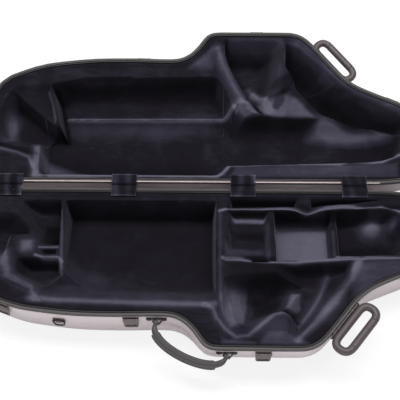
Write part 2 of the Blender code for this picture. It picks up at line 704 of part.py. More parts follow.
def build_rims(base, lid):
    """The tongued trim of the base, the grooved trim of the lid and its seal."""
    face, profile = trim_profile(-1)
    tongue_end = TONGUE_START + TONGUE_WIDTH
    tongue = [(tongue_end, -face), (tongue_end, TONGUE_HEIGHT), (TONGUE_START, TONGUE_HEIGHT),
              (TONGUE_START, -face)]
    sweep_profile("base_rim_trim", profile + tongue, "rim_trim", base)
    face, profile = trim_profile(1)
    groove_start = TONGUE_START - GROOVE_SIDE_GAP
    groove_end = tongue_end + GROOVE_SIDE_GAP
    groove = [(groove_end, face), (groove_end, face + GROOVE_DEPTH),
              (groove_start, face + GROOVE_DEPTH), (groove_start, face)]
    sweep_profile("lid_rim_trim", profile + groove, "rim_trim", lid)
    seal_top = face + GROOVE_DEPTH - TOUCH_GAP
    seal_start = groove_start + TOUCH_GAP
    seal_end = groove_end - TOUCH_GAP
    seal = [(seal_start, seal_top), (seal_start, seal_top - SEAL_HEIGHT),
            (seal_end, seal_top - SEAL_HEIGHT), (seal_end, seal_top)]
    sweep_profile("lid_rim_seal", seal, "rubber", lid)


# Linings

def lining_rings(depth, side):
    """Rings of the whole foam plug of one half, from above its top to its back."""
    rim = read_outline(0)
    neck = TRIM_WIDTH + TOUCH_GAP
    shoulder = TRIM_INNER_HEIGHT + TOUCH_GAP
    body = SHELL_INSET + SHELL_WALL + LINING_GAP
    top = [Vector((*point, -side * CUT_OVERRUN)) for point in inset_outline(rim, neck)]
    under = [Vector((*point, side * shoulder)) for point in inset_outline(rim, neck)]
    rings = hull_rings(depth, body, side)
    rings[0] = [point + Vector((0, 0, side * shoulder)) for point in rings[0]]
    return [top, under] + rings


def soft_rise(x, w, corners):
    """0 outside a convex outline and 1 on its floor, with a sloping wall along every edge."""
    edges = np.array(corners) * (CASE_LENGTH, BELL_WIDTH, BELL_WIDTH)
    run = np.roll(edges[:, :2], -1, 0) - edges[:, :2]
    turn = np.sign(np.sum(run[:, 0] * np.roll(run[:, 1], -1) - run[:, 1] * np.roll(run[:, 0], -1)))
    lack = np.zeros_like(x)
    for (x0, w0, wall), (dx, dw) in zip(edges, run):
        inside = np.maximum(turn * (dx * (w - w0) - dw * (x - x0)) / math.hypot(dx, dw), 0)
        lip = min(LIP_RADIUS, wall)
        ramp = (np.sqrt(inside ** 2 + lip ** 2) - lip) / wall
        foot = np.maximum(FOOT_SHARE - np.abs(ramp - 1), 0) ** 2 / (4 * FOOT_SHARE)
        lack += (1 - np.clip(np.minimum(ramp, 1) - foot, 0, 1)) ** 3
    return np.clip(1 - np.cbrt(lack), 0, 1)


def line_distance(x, w, line):
    """The distance to a line of straight stretches."""
    points = np.array(line) * (CASE_LENGTH, BELL_WIDTH)
    nearest = np.full_like(x, np.inf)
    for (x0, w0), (x1, w1) in zip(points, points[1:]):
        dx, dw = x1 - x0, w1 - w0
        t = np.clip(((x - x0) * dx + (w - w0) * dw) / (dx * dx + dw * dw), 0, 1)
        nearest = np.minimum(nearest, np.hypot(x - x0 - t * dx, w - w0 - t * dw))
    return nearest


def landscape(x, w, half, depth):
    """How deep the plush lies below its flange, before the rim and the shell limit it."""
    pockets, pads, ridges, grooves = LANDSCAPE_SHARES[half]
    deep = np.zeros_like(x)
    for floor, corners in pockets:
        other = floor * depth * soft_rise(x, w, corners)
        deeper = np.maximum(deep, other)
        blend = POCKET_BLEND * (1 - deeper / depth)
        deep = deeper + np.maximum(blend - np.abs(deep - other), 0) ** 2 / (4 * blend)
    for height, x0, w0, reach_x, reach_w in pads:
        across = (x / CASE_LENGTH - x0) / reach_x
        along = (w / BELL_WIDTH - w0) / reach_w
        deep = deep - height * depth * np.exp(-1.5 * (across ** 2 + along ** 2))
    for height, width, line in ridges:
        deep = deep - height * depth * np.exp(-line_distance(x, w, line) / (width * BELL_WIDTH))
    for height, width, line in grooves:
        away = line_distance(x, w, line) / (width * BELL_WIDTH)
        deep = deep + height * depth * np.exp(-away ** 2)
    return deep


def rim_places(x, w):
    """How far inside the rim each point is, and how far the back is drawn in beside it."""
    rim = np.array([(p.x, HINGE_EDGE_Y - p.y) for p in read_outline(0)])
    back = np.array([(p.x, HINGE_EDGE_Y - p.y) for p in read_outline(2)])
    away = np.full_like(x, np.inf)
    drawn = np.zeros_like(x)
    inside = np.zeros(x.shape, bool)
    for a, b, c, d in zip(rim, np.roll(rim, -1, 0), back, np.roll(back, -1, 0)):
        run = b - a
        t = np.clip(((x - a[0]) * run[0] + (w - a[1]) * run[1]) / run.dot(run), 0, 1)
        distance = np.hypot(x - a[0] - t * run[0], w - a[1] - t * run[1])
        width = np.linalg.norm(a - c) * (1 - t) + np.linalg.norm(b - d) * t
        drawn = np.where(distance < away, width, drawn)
        away = np.minimum(away, distance)
        if a[1] != b[1]:
            crosses = (a[1] > w) != (b[1] > w)
            inside ^= crosses & (x < a[0] + (w - a[1]) * run[0] / run[1])
    return np.where(inside, away, 0), drawn


def surface_depth(x, w, half, depth):
    """Depth of the plush below the parting plane: level at the rim, foam left above the shell."""
    distance, drawn = rim_places(x, w)
    t = np.clip((distance - TRIM_WIDTH - TOUCH_GAP - EDGE_FLANGE) / EDGE_RISE, 0, 1)
    deep = landscape(x, w, half, depth) * t * t * (3 - 2 * t)
    body = SHELL_INSET + SHELL_WALL + LINING_GAP
    share = np.clip((distance - body) / np.maximum(drawn, TOUCH_GAP), 0, 1)
    angle = np.arccos((1 - share) ** (1 / WALL_CURVE_SHARE))
    curved = depth - body + SHELL_INSET - TRIM_HEIGHT
    shell = TRIM_HEIGHT + curved * np.sin(angle) ** WALL_CURVE_SHARE
    return LINING_DROP + np.clip(np.minimum(deep, shell - MIN_FOAM - LINING_DROP), 0, None)


def triangle_errors(faces, heights, flatness):
    """The place in each triangle of the grid where its plane misses the height most."""
    worst = []
    for (i0, j0), (i1, j1), (i2, j2) in faces:
        i, j = np.mgrid[min(i0, i1, i2):max(i0, i1, i2) + 1, min(j0, j1, j2):max(j0, j1, j2) + 1]
        area = (j1 - j2) * (i0 - i2) + (i2 - i1) * (j0 - j2)
        a = ((j1 - j2) * (i - i2) + (i2 - i1) * (j - j2)) / area
        b = ((j2 - j0) * (i - i2) + (i0 - i2) * (j - j2)) / area
        c = 1 - a - b
        plane = a * heights[i0, j0] + b * heights[i1, j1] + c * heights[i2, j2]
        miss = np.abs(plane - heights[i, j]) * flatness[i, j]
        miss[np.minimum(np.minimum(a, b), c) < 0] = 0
        k = np.unravel_index(miss.argmax(), miss.shape)
        worst.append((float(miss[k]), int(i[k]), int(j[k])))
    return sorted(worst, reverse=True)


def best_triangles(heights, count):
    """Triangles between grid points; points are added where the surface is missed most."""
    rows, columns = heights.shape
    slope = np.hypot(*np.gradient(heights, SURFACE_STEP))
    flatness = 1 / np.sqrt(1 + slope ** 2)
    lines = [sorted({*range(0, size - 1, BORDER_STEPS), size - 1}) for size in (rows, columns)]
    places = {(i, j) for i in lines[0] for j in (0, columns - 1)}
    places |= {(i, j) for i in (0, rows - 1) for j in lines[1]}
    while True:
        points = [Vector(place) for place in sorted(places)]
        result = delaunay_2d_cdt(points, [], [], 0, MERGE_STEPS)
        corners = [(round(point.x), round(point.y)) for point in result[0]]
        faces = [tuple(corners[k] for k in face) for face in result[2]]
        if len(places) >= count:
            return faces
        missed = triangle_errors(faces, heights, flatness)
        for _, i, j in missed[:max(4, min(len(missed) // 8, count - len(places)))]:
            places.add((i, j))


def surface_cutter(name, low, high, half, depth, side, count):
    """A solid that takes away all that lies above the plush between two places along the case."""
    x = np.arange(low - SURFACE_MARGIN, high + SURFACE_MARGIN, SURFACE_STEP)
    w = np.arange(-SURFACE_MARGIN, BELL_WIDTH + SURFACE_MARGIN, SURFACE_STEP)
    x, w = np.meshgrid(x, w, indexing="ij")
    heights = surface_depth(x, w, half, depth)
    bm = bmesh.new()
    corners = {}
    for face in best_triangles(heights, count):
        for i, j in face:
            if (i, j) not in corners:
                point = (x[i, j], HINGE_EDGE_Y - w[i, j], side * heights[i, j])
                corners[i, j] = bm.verts.new(point)
        bm.faces.new([corners[place] for place in face])
    border = [edge for edge in bm.edges if edge.is_boundary]
    walls = bmesh.ops.extrude_edge_only(bm, edges=border)["geom"]
    for vert in walls:
        if isinstance(vert, bmesh.types.BMVert):
            vert.co.z = -2 * side * CUT_OVERRUN
    bmesh.ops.contextual_create(bm, geom=[edge for edge in bm.edges if edge.is_boundary])
    return object_from_bmesh(name, bm)


def build_lining(half, seams, depth, side, parent):
    """Cut one half's plug at its seams, then cut each block's top to the landscape."""
    reach = CASE_LENGTH / 2
    ends = (-reach, *[share * CASE_LENGTH for share in seams], reach)
    for low, high, place, count in zip(ends, ends[1:], BLOCK_NAMES, SURFACE_POINTS[half]):
        name = f"{half}_lining_{place}"
        block = add_loft(name, lining_rings(depth, side), "plush", parent)
        keep_low = (low + BLOCK_GAP / 2 if low > -reach else 2 * low, -BELL_WIDTH, -CASE_LENGTH)
        keep_high = (high - BLOCK_GAP / 2 if high < reach else 2 * high, BELL_WIDTH, CASE_LENGTH)
        keep = add_box(name + "_keep", keep_low, keep_high, parent=parent)
        add_boolean(block, keep, "INTERSECT")
        cutter = surface_cutter(name + "_surface", low, high, half, depth, side, count)
        cutter.parent = parent
        add_boolean(block, cutter, "DIFFERENCE")


def build_linings(base, lid):
    build_lining("base", BASE_SEAM_SHARES, BASE_DEPTH, -1, base)
    build_lining("lid", LID_SEAM_SHARES, LID_DEPTH, 1, lid)


# Hinges and their covers

def leaf_profile(side):
    """Side view of a hinge leaf about its pin: Y outwards, Z up."""
    inner = TOUCH_GAP - HINGE_AXIS_OUT
    outer = inner + HINGE_LEAF_THICKNESS
    radius = HINGE_KNUCKLE_RADIUS
    web = radius - HINGE_LEAF_THICKNESS
    points = [(inner, side * HINGE_LEAF_HEIGHT), (outer, side * HINGE_LEAF_HEIGHT),
              (outer, side * radius)]
    arc = []
    for step in range(9):
        angle = math.radians(90 - 30 * step)
        arc.append((radius * math.cos(angle), side * radius * math.sin(angle)))
    start = (-math.sqrt(radius ** 2 - web ** 2), side * web)
    return points + arc + [start, (inner, side * web)]


def build_leaf(name, notches, side, parent):
    """A hinge leaf: one bent plate, notched where the other leaf's knuckles run."""
    leaf = add_plate(name, leaf_profile(side), HINGE_WIDTH, section_frame(-HINGE_WIDTH / 2),
                     "bright_steel", parent)
    clear = HINGE_KNUCKLE_RADIUS + RUNNING_GAP
    for number, (start, end) in enumerate(notches, start=1):
        notch = add_box(f"{name}_notch_{number}", (start, -2 * HINGE_AXIS_OUT, -clear),
                        (end, HINGE_AXIS_OUT, clear), parent=parent)
        add_boolean(leaf, notch, "DIFFERENCE")
    bore = add_rod(name + "_bore", (-HINGE_WIDTH, 0, 0), (HINGE_WIDTH, 0, 0),
                   HINGE_PIN_RADIUS + TOUCH_GAP, parent=parent, sides=BORE_SIDES)
    add_boolean(leaf, bore, "DIFFERENCE")


def build_hinges(base, lid):
    """Four hinges: the base leaf has the outer knuckles, the lid leaf the middle one."""
    half = HINGE_WIDTH / 2
    inner = half - HINGE_SIDE_KNUCKLE
    past = half + CUT_OVERRUN
    for number, share in enumerate(HINGE_PLACE_SHARES, start=1):
        seat = add_empty(f"hinge_{number}_base_seat", hinge_frame(share), base)
        build_leaf(f"hinge_{number}_base_leaf", ((-inner, inner),), -1, seat)
        add_rod(f"hinge_{number}_pin", (-half, 0, 0), (half, 0, 0), HINGE_PIN_RADIUS, "dark_steel",
                seat, sides=BORE_SIDES)
        seat = add_empty(f"hinge_{number}_lid_seat", hinge_frame(share), lid)
        lid_half = inner - RUNNING_GAP
        build_leaf(f"hinge_{number}_lid_leaf", ((-past, -lid_half), (lid_half, past)), 1, seat)


def cover_path():
    """Side view of a cover about the hinge pin, from the base lining over to the lid lining."""
    seat = -LINING_DROP + TOUCH_GAP
    over_tongue = TONGUE_HEIGHT + TOUCH_GAP
    over_pin = HINGE_KNUCKLE_RADIUS + COVER_RISE
    start = -(HINGE_AXIS_OUT + COVER_REACH)
    inner = -(HINGE_AXIS_OUT + TRIM_WIDTH)
    half = [(start, seat), (inner, seat + COVER_RISE),
            (-(HINGE_AXIS_OUT + TONGUE_START + TONGUE_WIDTH), over_tongue + COVER_RISE / 2),
            (-(HINGE_AXIS_OUT + TONGUE_START), over_tongue + COVER_RISE / 2),
            (-HINGE_AXIS_OUT / 2, over_pin)]
    mirror = math.pi + LID_LEAN
    turned = []
    for y, z in half:
        turned.append((y * math.cos(mirror) + z * math.sin(mirror),
                       y * math.sin(mirror) - z * math.cos(mirror)))
    crown = (over_pin * math.sin(LID_LEAN / 2) * -1, over_pin * math.cos(LID_LEAN / 2))
    return half + [crown] + turned[::-1]


def build_hinge_covers(base):
    """A plush strip over each hinge, an open surface made as thick as the cloth."""
    for number, share in enumerate(HINGE_PLACE_SHARES, start=1):
        seat = add_empty(f"hinge_{number}_cover_seat", hinge_frame(share), base)
        bm = bmesh.new()
        rows = []
        for y, z in cover_path():
            rows.append([bm.verts.new((x, y, z)) for x in (-COVER_WIDTH / 2, COVER_WIDTH / 2)])
        for (a, b), (c, d) in zip(rows, rows[1:]):
            bm.faces.new((a, b, d, c))
        cover = object_from_bmesh(f"hinge_{number}_cover", bm, "plush", seat)
        if cover.data.polygons[0].normal.z < 0:
            cover.data.flip_normals()
        cloth = cover.modifiers.new("Cloth", "SOLIDIFY")
        cloth.thickness = COVER_THICKNESS
        cloth.offset = 1.0
        cloth.use_even_offset = True


# Latches

def build_latch_plate(name, seat):
    """The fixed plate of a latch with its two side knuckles."""
    half = LATCH_WIDTH / 2
    outer = -(TOUCH_GAP + LATCH_PLATE_THICKNESS)
    axis = (-LATCH_AXIS_OUT, -LATCH_AXIS_DROP)
    plate = add_box(name, (-half, outer, axis[1] - LATCH_BARREL_RADIUS),
                    (half, -TOUCH_GAP, -LATCH_PLATE_TOP), "latch_metal", seat)
    for number, start in enumerate((-half, half - LATCH_SIDE_KNUCKLE), start=1):
        end = start + LATCH_SIDE_KNUCKLE
        web = add_box(f"{name}_web_{number}", (start, axis[0], axis[1] - LATCH_BARREL_RADIUS / 2),
                      (end, outer / 2 - TOUCH_GAP, axis[1] + LATCH_BARREL_RADIUS / 2), parent=seat)
        knuckle = add_rod(f"{name}_knuckle_{number}", (start, *axis), (end, *axis),
                          LATCH_BARREL_RADIUS, parent=seat)
        add_boolean(plate, web, "UNION")
        add_boolean(plate, knuckle, "UNION")
    bore = add_rod(name + "_bore", (-LATCH_WIDTH, *axis), (LATCH_WIDTH, *axis),
                   LATCH_PIN_RADIUS + TOUCH_GAP, parent=seat, sides=BORE_SIDES)
    add_boolean(plate, bore, "DIFFERENCE")
    row = -(LATCH_PLATE_TOP + RIVET_RADIUS + RUNNING_GAP)
    spread = half - 2 * RIVET_RADIUS
    add_heads(plate, [(x, outer, row) for x in (-spread, spread)], RIVET_RADIUS, RIVET_HEIGHT)


def build_lever(name, axis_frame):
    """The flap of a latch about its pin, hanging down; its tooth faces outwards."""
    half = LATCH_WIDTH / 2
    barrel_half = half - LATCH_SIDE_KNUCKLE - RUNNING_GAP
    inner = LATCH_BARREL_RADIUS
    outer = inner - LEVER_THICKNESS
    top = LATCH_BARREL_RADIUS + RUNNING_GAP
    end = half - LEVER_TAPER
    corners = [Vector((-half, -top)), Vector((-end, -LEVER_LENGTH)), Vector((end, -LEVER_LENGTH)),
               Vector((half, -top))]
    outline = rounded_corners(corners, (0, LEVER_CORNER, LEVER_CORNER, 0))
    upright = upright_frame(inner)
    lever = add_plate(name, outline, LEVER_THICKNESS, upright, "latch_metal", axis_frame)
    neck = add_box(name + "_neck", (-barrel_half, outer, -2 * top), (barrel_half, inner, 0),
                   parent=axis_frame)
    barrel = add_rod(name + "_barrel", (-barrel_half, 0, 0), (barrel_half, 0, 0),
                     LATCH_BARREL_RADIUS, parent=axis_frame)
    reach = LATCH_AXIS_OUT - LATCH_PLATE_THICKNESS - TOUCH_GAP - RUNNING_GAP
    tooth = add_box(name + "_tooth", (-TOOTH_WIDTH / 2, -reach, -TOOTH_PLACE - TOOTH_THICKNESS),
                    (TOOTH_WIDTH / 2, (outer + inner) / 2, -TOOTH_PLACE), parent=axis_frame)
    for piece in (neck, barrel, tooth):
        add_boolean(lever, piece, "UNION")
    bore = add_rod(name + "_bore", (-LATCH_WIDTH, 0, 0), (LATCH_WIDTH, 0, 0),
                   LATCH_PIN_RADIUS + TOUCH_GAP, parent=axis_frame, sides=BORE_SIDES)
    add_boolean(lever, bore, "DIFFERENCE")


def build_keeper(name, seat):
    """The catch on the lid that the lever's tooth hooks over."""
    half = KEEPER_WIDTH / 2
    outer = -(TOUCH_GAP + LATCH_PLATE_THICKNESS)
    top = TOOTH_PLACE - LATCH_AXIS_DROP - RUNNING_GAP
    lip = -(LATCH_AXIS_OUT + LATCH_BARREL_RADIUS - LEVER_THICKNESS - RUNNING_GAP)
    side_view = [(-TOUCH_GAP, KEEPER_BOTTOM), (-TOUCH_GAP, top), (lip, top),
                 (lip, top - KEEPER_LIP_HEIGHT / 2), (outer, top - KEEPER_LIP_HEIGHT),
                 (outer, KEEPER_BOTTOM)]
    keeper = add_plate(name, side_view, KEEPER_WIDTH, section_frame(-half), "latch_metal", seat)
    row = KEEPER_BOTTOM + RIVET_RADIUS + RUNNING_GAP
    spread = half - 2 * RIVET_RADIUS
    add_heads(keeper, [(x, outer, row) for x in (-spread, spread)], RIVET_RADIUS, RIVET_HEIGHT)


def add_heads(plate, points, radius, height):
    """Round fastener heads set into a plate's outer face, which looks along -Y."""
    for number, point in enumerate(points, start=1):
        bm = bmesh.new()
        turn = Matrix.Translation(point) @ Matrix.Rotation(math.radians(90), 4, "X")
        bmesh.ops.create_cone(bm, cap_ends=True, segments=HEAD_SIDES, radius1=radius,
                              radius2=radius * HEAD_TOP_SHARE, depth=2 * height, matrix=turn)
        head = object_from_bmesh(f"{plate.name}_head_{number}", bm, parent=plate.parent)
        add_boolean(plate, head, "UNION")


def build_latches(base, lid):
    """Four latches: a plate with a pinned, hanging lever on the base, a keeper on the lid."""
    half = LATCH_WIDTH / 2
    to_axis = Matrix.Translation((0, -LATCH_AXIS_OUT, -LATCH_AXIS_DROP))
    for number, share in enumerate(LATCH_PLACE_SHARES, start=1):
        frame = wall_frame(share, half)
        build_latch_plate(f"latch_{number}_plate", add_empty(f"latch_{number}_seat", frame, base))
        axis_frame = add_empty(f"latch_{number}_axis", frame @ to_axis, base)
        build_lever(f"latch_{number}_lever", axis_frame)
        add_rod(f"latch_{number}_pin", (-half, 0, 0), (half, 0, 0), LATCH_PIN_RADIUS, "dark_steel",
                axis_frame, sides=BORE_SIDES)
        build_keeper(f"latch_{number}_keeper", add_empty(f"keeper_{number}_seat", frame, lid))


# Carry handle

def bracket_frames():
    return [wall_frame(share, BRACKET_WIDTH / 2) for share in BRACKET_PLACE_SHARES]


def pivot_points():
    """The two ends of the carry handle's axis."""
    local = Vector((0, -EAR_REACH + EYE_RADIUS, -BRACKET_DROP - BRACKET_HEIGHT / 2))
    return [frame @ local for frame in bracket_frames()]


def handle_frame():
    """Frame on the handle's axis: X from one pivot to the other, Y outwards and down."""
    left, right = pivot_points()
    along = (right - left).normalized()
    outward = Vector((along.y, -along.x, 0)).normalized()
    droop = math.radians(HANDLE_DROOP_DEGREES)
    swing = outward * math.cos(droop) - Vector((0, 0, 1)) * math.sin(droop)
    up = along.cross(swing)
    return Matrix(((along.x, swing.x, up.x, left.x), (along.y, swing.y, up.y, left.y),
                   (along.z, swing.z, up.z, left.z), (0, 0, 0, 1)))


def handle_path(start_share, end_share, steps):
    """The bow of the handle in its frame, flat topped like a bent strap."""
    left, right = pivot_points()
    span = (right - left).length
    path = []
    for step in range(steps + 1):
        share = start_share + (end_share - start_share) * step / steps
        angle = math.pi * (1 - share)
        bow = HANDLE_BULGE * math.sin(angle) ** HANDLE_CURVE_SHARE if 0 < share < 1 else 0.0
        path.append(Vector((span / 2 * (1 + math.cos(angle)), bow, 0)))
    return path


def band_rings(path, width, thickness, sides):
    """Oval rings along a path that lies in the frame's XY plane."""
    rings = []
    for k, point in enumerate(path):
        along = (path[min(k + 1, len(path) - 1)] - path[max(k - 1, 0)]).normalized()
        across = Vector((-along.y, along.x, 0))
        ring = []
        for side in range(sides):
            angle = 2 * math.pi * (side + 0.5) / sides
            ring.append(point + across * thickness / 2 * math.cos(angle)
                        + Vector((0, 0, 1)) * width / 2 * math.sin(angle))
        rings.append(ring)
    return rings


def build_bracket(name, frame, pivot, turn, base):
    """A wall bracket: its plate, and two ears square to the handle's axis."""
    seat = add_empty(name + "_seat", frame, base)
    half = BRACKET_WIDTH / 2
    wall = SHELL_INSET - TOUCH_GAP
    low = (-half, wall - BRACKET_THICKNESS, -BRACKET_DROP - BRACKET_HEIGHT)
    bracket = add_box(name, low, (half, wall, -BRACKET_DROP), "latch_metal", seat)
    local = frame.inverted() @ Matrix.Translation(pivot) @ turn
    ear_half = EAR_HEIGHT / 2
    for number, sign in enumerate((-1, 1), start=1):
        near = sign * EAR_SLOT / 2
        far = sign * (EAR_SLOT / 2 + EAR_THICKNESS)
        ear = add_box(f"{name}_ear_{number}", (min(near, far), -EYE_RADIUS, -ear_half),
                      (max(near, far), 2 * EAR_REACH, ear_half), parent=seat)
        ear.data.transform(local)
        add_boolean(bracket, ear, "UNION")
    behind = add_box(name + "_behind", (-BRACKET_WIDTH, wall, -BRACKET_WIDTH),
                     (BRACKET_WIDTH, wall + BRACKET_WIDTH, BRACKET_WIDTH), parent=seat)
    add_boolean(bracket, behind, "DIFFERENCE")
    reach = EAR_SLOT / 2 + EAR_THICKNESS
    bore = add_rod(name + "_bore", (-2 * reach, 0, 0), (2 * reach, 0, 0),
                   EYE_PIN_RADIUS + TOUCH_GAP, parent=seat, sides=BORE_SIDES)
    bore.data.transform(local)
    add_boolean(bracket, bore, "DIFFERENCE")
    row = -BRACKET_DROP - BRACKET_HEIGHT / 2
    spread = half - 2 * BRACKET_SCREW_RADIUS
    add_heads(bracket, [(x, wall - BRACKET_THICKNESS, row) for x in (-spread, spread)],
              BRACKET_SCREW_RADIUS, BRACKET_SCREW_HEIGHT)
    pin_half = EAR_SLOT / 2 + EAR_THICKNESS
    pin = add_rod(name.replace("bracket", "pin"), (-pin_half, 0, 0), (pin_half, 0, 0),
                  EYE_PIN_RADIUS, "dark_steel", seat, sides=BORE_SIDES)
    pin.data.transform(local)


def build_carry_handle(base):
    """Brackets, pins, the strap with an eye at each end and the padded grip round it."""
    left, right = pivot_points()
    along = (right - left).normalized()
    turn = Matrix(((along.x, -along.y, 0, 0), (along.y, along.x, 0, 0), (0, 0, 1, 0),
                   (0, 0, 0, 1)))
    names = ("handle_bracket_left", "handle_bracket_right")
    for name, frame, pivot in zip(names, bracket_frames(), (left, right)):
        build_bracket(name, frame, pivot, turn, base)
    axis_frame = add_empty("carry_handle_axis", handle_frame(), base)
    build_strap(axis_frame, (right - left).length)
    build_grip(axis_frame)


def build_strap(axis_frame, span):
    """The strap: one band from eye to eye, drilled for the pins."""
    path = handle_path(0.0, 1.0, STRAP_STEPS)
    strap = add_loft("carry_handle_strap", band_rings(path[1:-1], STRAP_WIDTH, STRAP_THICKNESS, 8),
                     "handle_leather", axis_frame)
    half = EAR_SLOT / 2 - RUNNING_GAP
    for number, x in enumerate((0.0, span), start=1):
        eye = add_rod(f"carry_handle_eye_{number}", (x - half, 0, 0), (x + half, 0, 0), EYE_RADIUS,
                      parent=axis_frame)
        add_boolean(strap, eye, "UNION")
        tail = path[1] if number == 1 else path[-2]
        tab = add_loft(f"carry_handle_tab_{number}",
                       band_rings([Vector((x, 0, 0)), tail], STRAP_WIDTH * EYE_TAB_SHARE,
                                  STRAP_THICKNESS, 8), parent=axis_frame)
        add_boolean(strap, tab, "UNION")
    bore = add_rod("carry_handle_bore", (-span, 0, 0), (2 * span, 0, 0),
                   EYE_PIN_RADIUS + TOUCH_GAP, parent=axis_frame, sides=BORE_SIDES)
    add_boolean(strap, bore, "DIFFERENCE")


def build_grip(axis_frame):
    """The padded grip, bored for the strap that runs through it."""
    path = handle_path(GRIP_START_SHARE, GRIP_END_SHARE, GRIP_STEPS)
    grip = add_loft("carry_handle_grip", band_rings(path, GRIP_WIDTH, GRIP_THICKNESS, 12),
                    "handle_leather", axis_frame)
    through = handle_path(0.0, 1.0, STRAP_STEPS)[1:-1]
    bore = add_loft("carry_handle_grip_bore",
                    band_rings(through, STRAP_WIDTH + 2 * GRIP_BORE_GAP,
                               STRAP_THICKNESS + 2 * GRIP_BORE_GAP, 8), parent=axis_frame)
    add_boolean(grip, bore, "DIFFERENCE")


# Side handles

def side_handle_path():
    """The loop's centre line in the wall's frame."""
    half = SIDE_HANDLE_LENGTH / 2 - SIDE_HANDLE_TUBE_RADIUS
    near = -(2 * TOUCH_GAP + SIDE_PLATE_THICKNESS + SIDE_HANDLE_TUBE_RADIUS)
    far = SIDE_HANDLE_TUBE_RADIUS - SIDE_HANDLE_REACH
    corners = [Vector((-half, near)), Vector((-half, far)), Vector((half, far)),
               Vector((half, near))]
    rounded = rounded_corners(corners, [SIDE_HANDLE_CORNER] * len(corners), 4)
    return [Vector((*point, 0)) for point in rounded]


def build_side_handle(name, drop, depth, side, parent):
    """A rigid loop handle: its wall plate with two screws, and its loop."""
    long_half = SIDE_PLATE_LENGTH / 2
    top = max(drop - SIDE_PLATE_WIDTH / 2 - TRIM_HEIGHT, 0)
    top += TRIM_HEIGHT * (top > 0)
    frame = wall_frame(SIDE_HANDLE_PLACE_SHARE, long_half, top, depth)
    frame = frame @ Matrix.Translation((0, 0, top + side * drop))
    seat = add_empty(name + "_seat", frame, parent)
    half = SIDE_PLATE_WIDTH / 2
    outline = rounded_corners([Vector((-long_half, -half)), Vector((long_half, -half)),
                               Vector((long_half, half)), Vector((-long_half, half))],
                              [half] * 4)
    plate = add_plate(name + "_plate", outline, SIDE_PLATE_THICKNESS, upright_frame(-TOUCH_GAP),
                      "handle_plastic", seat)
    add_loop(name + "_loop", side_handle_path(), SIDE_HANDLE_TUBE_RADIUS, 10, Vector((0, 0, 1)),
             "handle_plastic", seat)
    row = half - SIDE_SCREW_RADIUS - 2 * RUNNING_GAP
    spread = long_half / 2
    face = -TOUCH_GAP - SIDE_PLATE_THICKNESS
    add_heads(plate, [(x, face, row) for x in (-spread, spread)], SIDE_SCREW_RADIUS,
              SIDE_SCREW_HEIGHT)


# Rings for a shoulder strap

def ring_path():
    """A D ring hanging from its straight bar, in the lug's frame."""
    half = STRAP_RING_WIDTH / 2 - STRAP_RING_WIRE
    drop = STRAP_RING_HEIGHT - 2 * STRAP_RING_WIRE
    foot = half * STRAP_RING_FOOT_SHARE
    corners = [Vector((-half, 0)), Vector((half, 0)), Vector((foot, -drop)),
               Vector((-foot, -drop))]
    rounded = rounded_corners(corners, [STRAP_RING_CORNER] * len(corners))
    return [Vector((point.x, 0, point.y)) for point in rounded]


def build_strap_rings(base):
    """Two riveted lugs on the front wall, each with a D ring in its loop."""
    for number, share in enumerate(STRAP_RING_PLACE_SHARES, start=1):
        centre_drop = Matrix.Translation((0, 0, -LUG_HEIGHT / 2))
        frame = wall_frame(share, LUG_WIDTH / 2, STRAP_RING_DROP - LUG_HEIGHT / 2) @ centre_drop
        seat = add_empty(f"strap_ring_{number}_seat", frame, base)
        near = -TOUCH_GAP
        far = near - LUG_THICKNESS
        lug = add_box(f"strap_lug_{number}", (-LUG_WIDTH / 2, far, -LUG_HEIGHT / 2),
                      (LUG_WIDTH / 2, near, LUG_HEIGHT / 2), "latch_metal", seat)
        hole = STRAP_RING_WIRE + RUNNING_GAP
        outer = hole + LUG_LOOP_WALL
        centre = far - hole
        loop = add_rod(f"strap_lug_{number}_loop", (-LUG_LOOP_WIDTH / 2, centre, 0),
                       (LUG_LOOP_WIDTH / 2, centre, 0), outer, parent=seat)
        add_boolean(lug, loop, "UNION")
        bore = add_rod(f"strap_lug_{number}_bore", (-LUG_WIDTH, centre, 0), (LUG_WIDTH, centre, 0),
                       hole, parent=seat, sides=BORE_SIDES)
        add_boolean(lug, bore, "DIFFERENCE")
        axis = add_empty(f"strap_ring_{number}_axis",
                         frame @ Matrix.Translation((0, centre, 0)), base)
        add_loop(f"strap_ring_{number}", ring_path(), STRAP_RING_WIRE, 8, Vector((0, 1, 0)),
                 "bright_steel", axis)
        spread = LUG_RIVET_SPACING / 2
        add_heads(lug, [(x, far, LUG_RIVET_RISE) for x in (-spread, spread)], RIVET_RADIUS,
                  RIVET_HEIGHT)


def build_case():
    base = add_empty("base_frame", Matrix.Translation((0, 0, BASE_DEPTH)))
    pivot = add_empty("lid_pivot", Matrix.Translation((0, HINGE_AXIS_Y, BASE_DEPTH))
                      @ Matrix.Rotation(-math.radians(LID_OPEN_DEGREES), 4, "X"))
    lid = add_empty("lid_frame", Matrix.Translation((0, -HINGE_AXIS_Y, 0)), pivot)
    build_shell("base_shell", BASE_DEPTH, -1, base)
    build_shell("lid_shell", LID_DEPTH, 1, lid)
    build_rims(base, lid)
    build_linings(base, lid)
    build_hinges(base, lid)
    build_hinge_covers(base)
    build_latches(base, lid)
    build_carry_handle(base)
    build_side_handle("base_side_handle", BASE_SIDE_HANDLE_DROP, BASE_DEPTH, -1, base)
    build_side_handle("lid_side_handle", LID_SIDE_HANDLE_DROP, LID_DEPTH, 1, lid)
    build_strap_rings(base)


clear_scene()
parts = add_collection("baritone_saxophone_case")
cutters = add_collection("cutters")
finishes = {name: add_finish(name) for name in FINISHES}
build_case()
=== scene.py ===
# %% [markdown]
# Baritone saxophone case
#
# This lesson dresses a CAD model of an open saxophone case: its silver shells, dark rim trims, plush
# linings, latches and handles. The CAD model gives every size, and this file gives the finish. It is
# read from top to bottom, and each step says what the real piece is and why it is made this way.

# %% Load the CAD model as the frame
import math

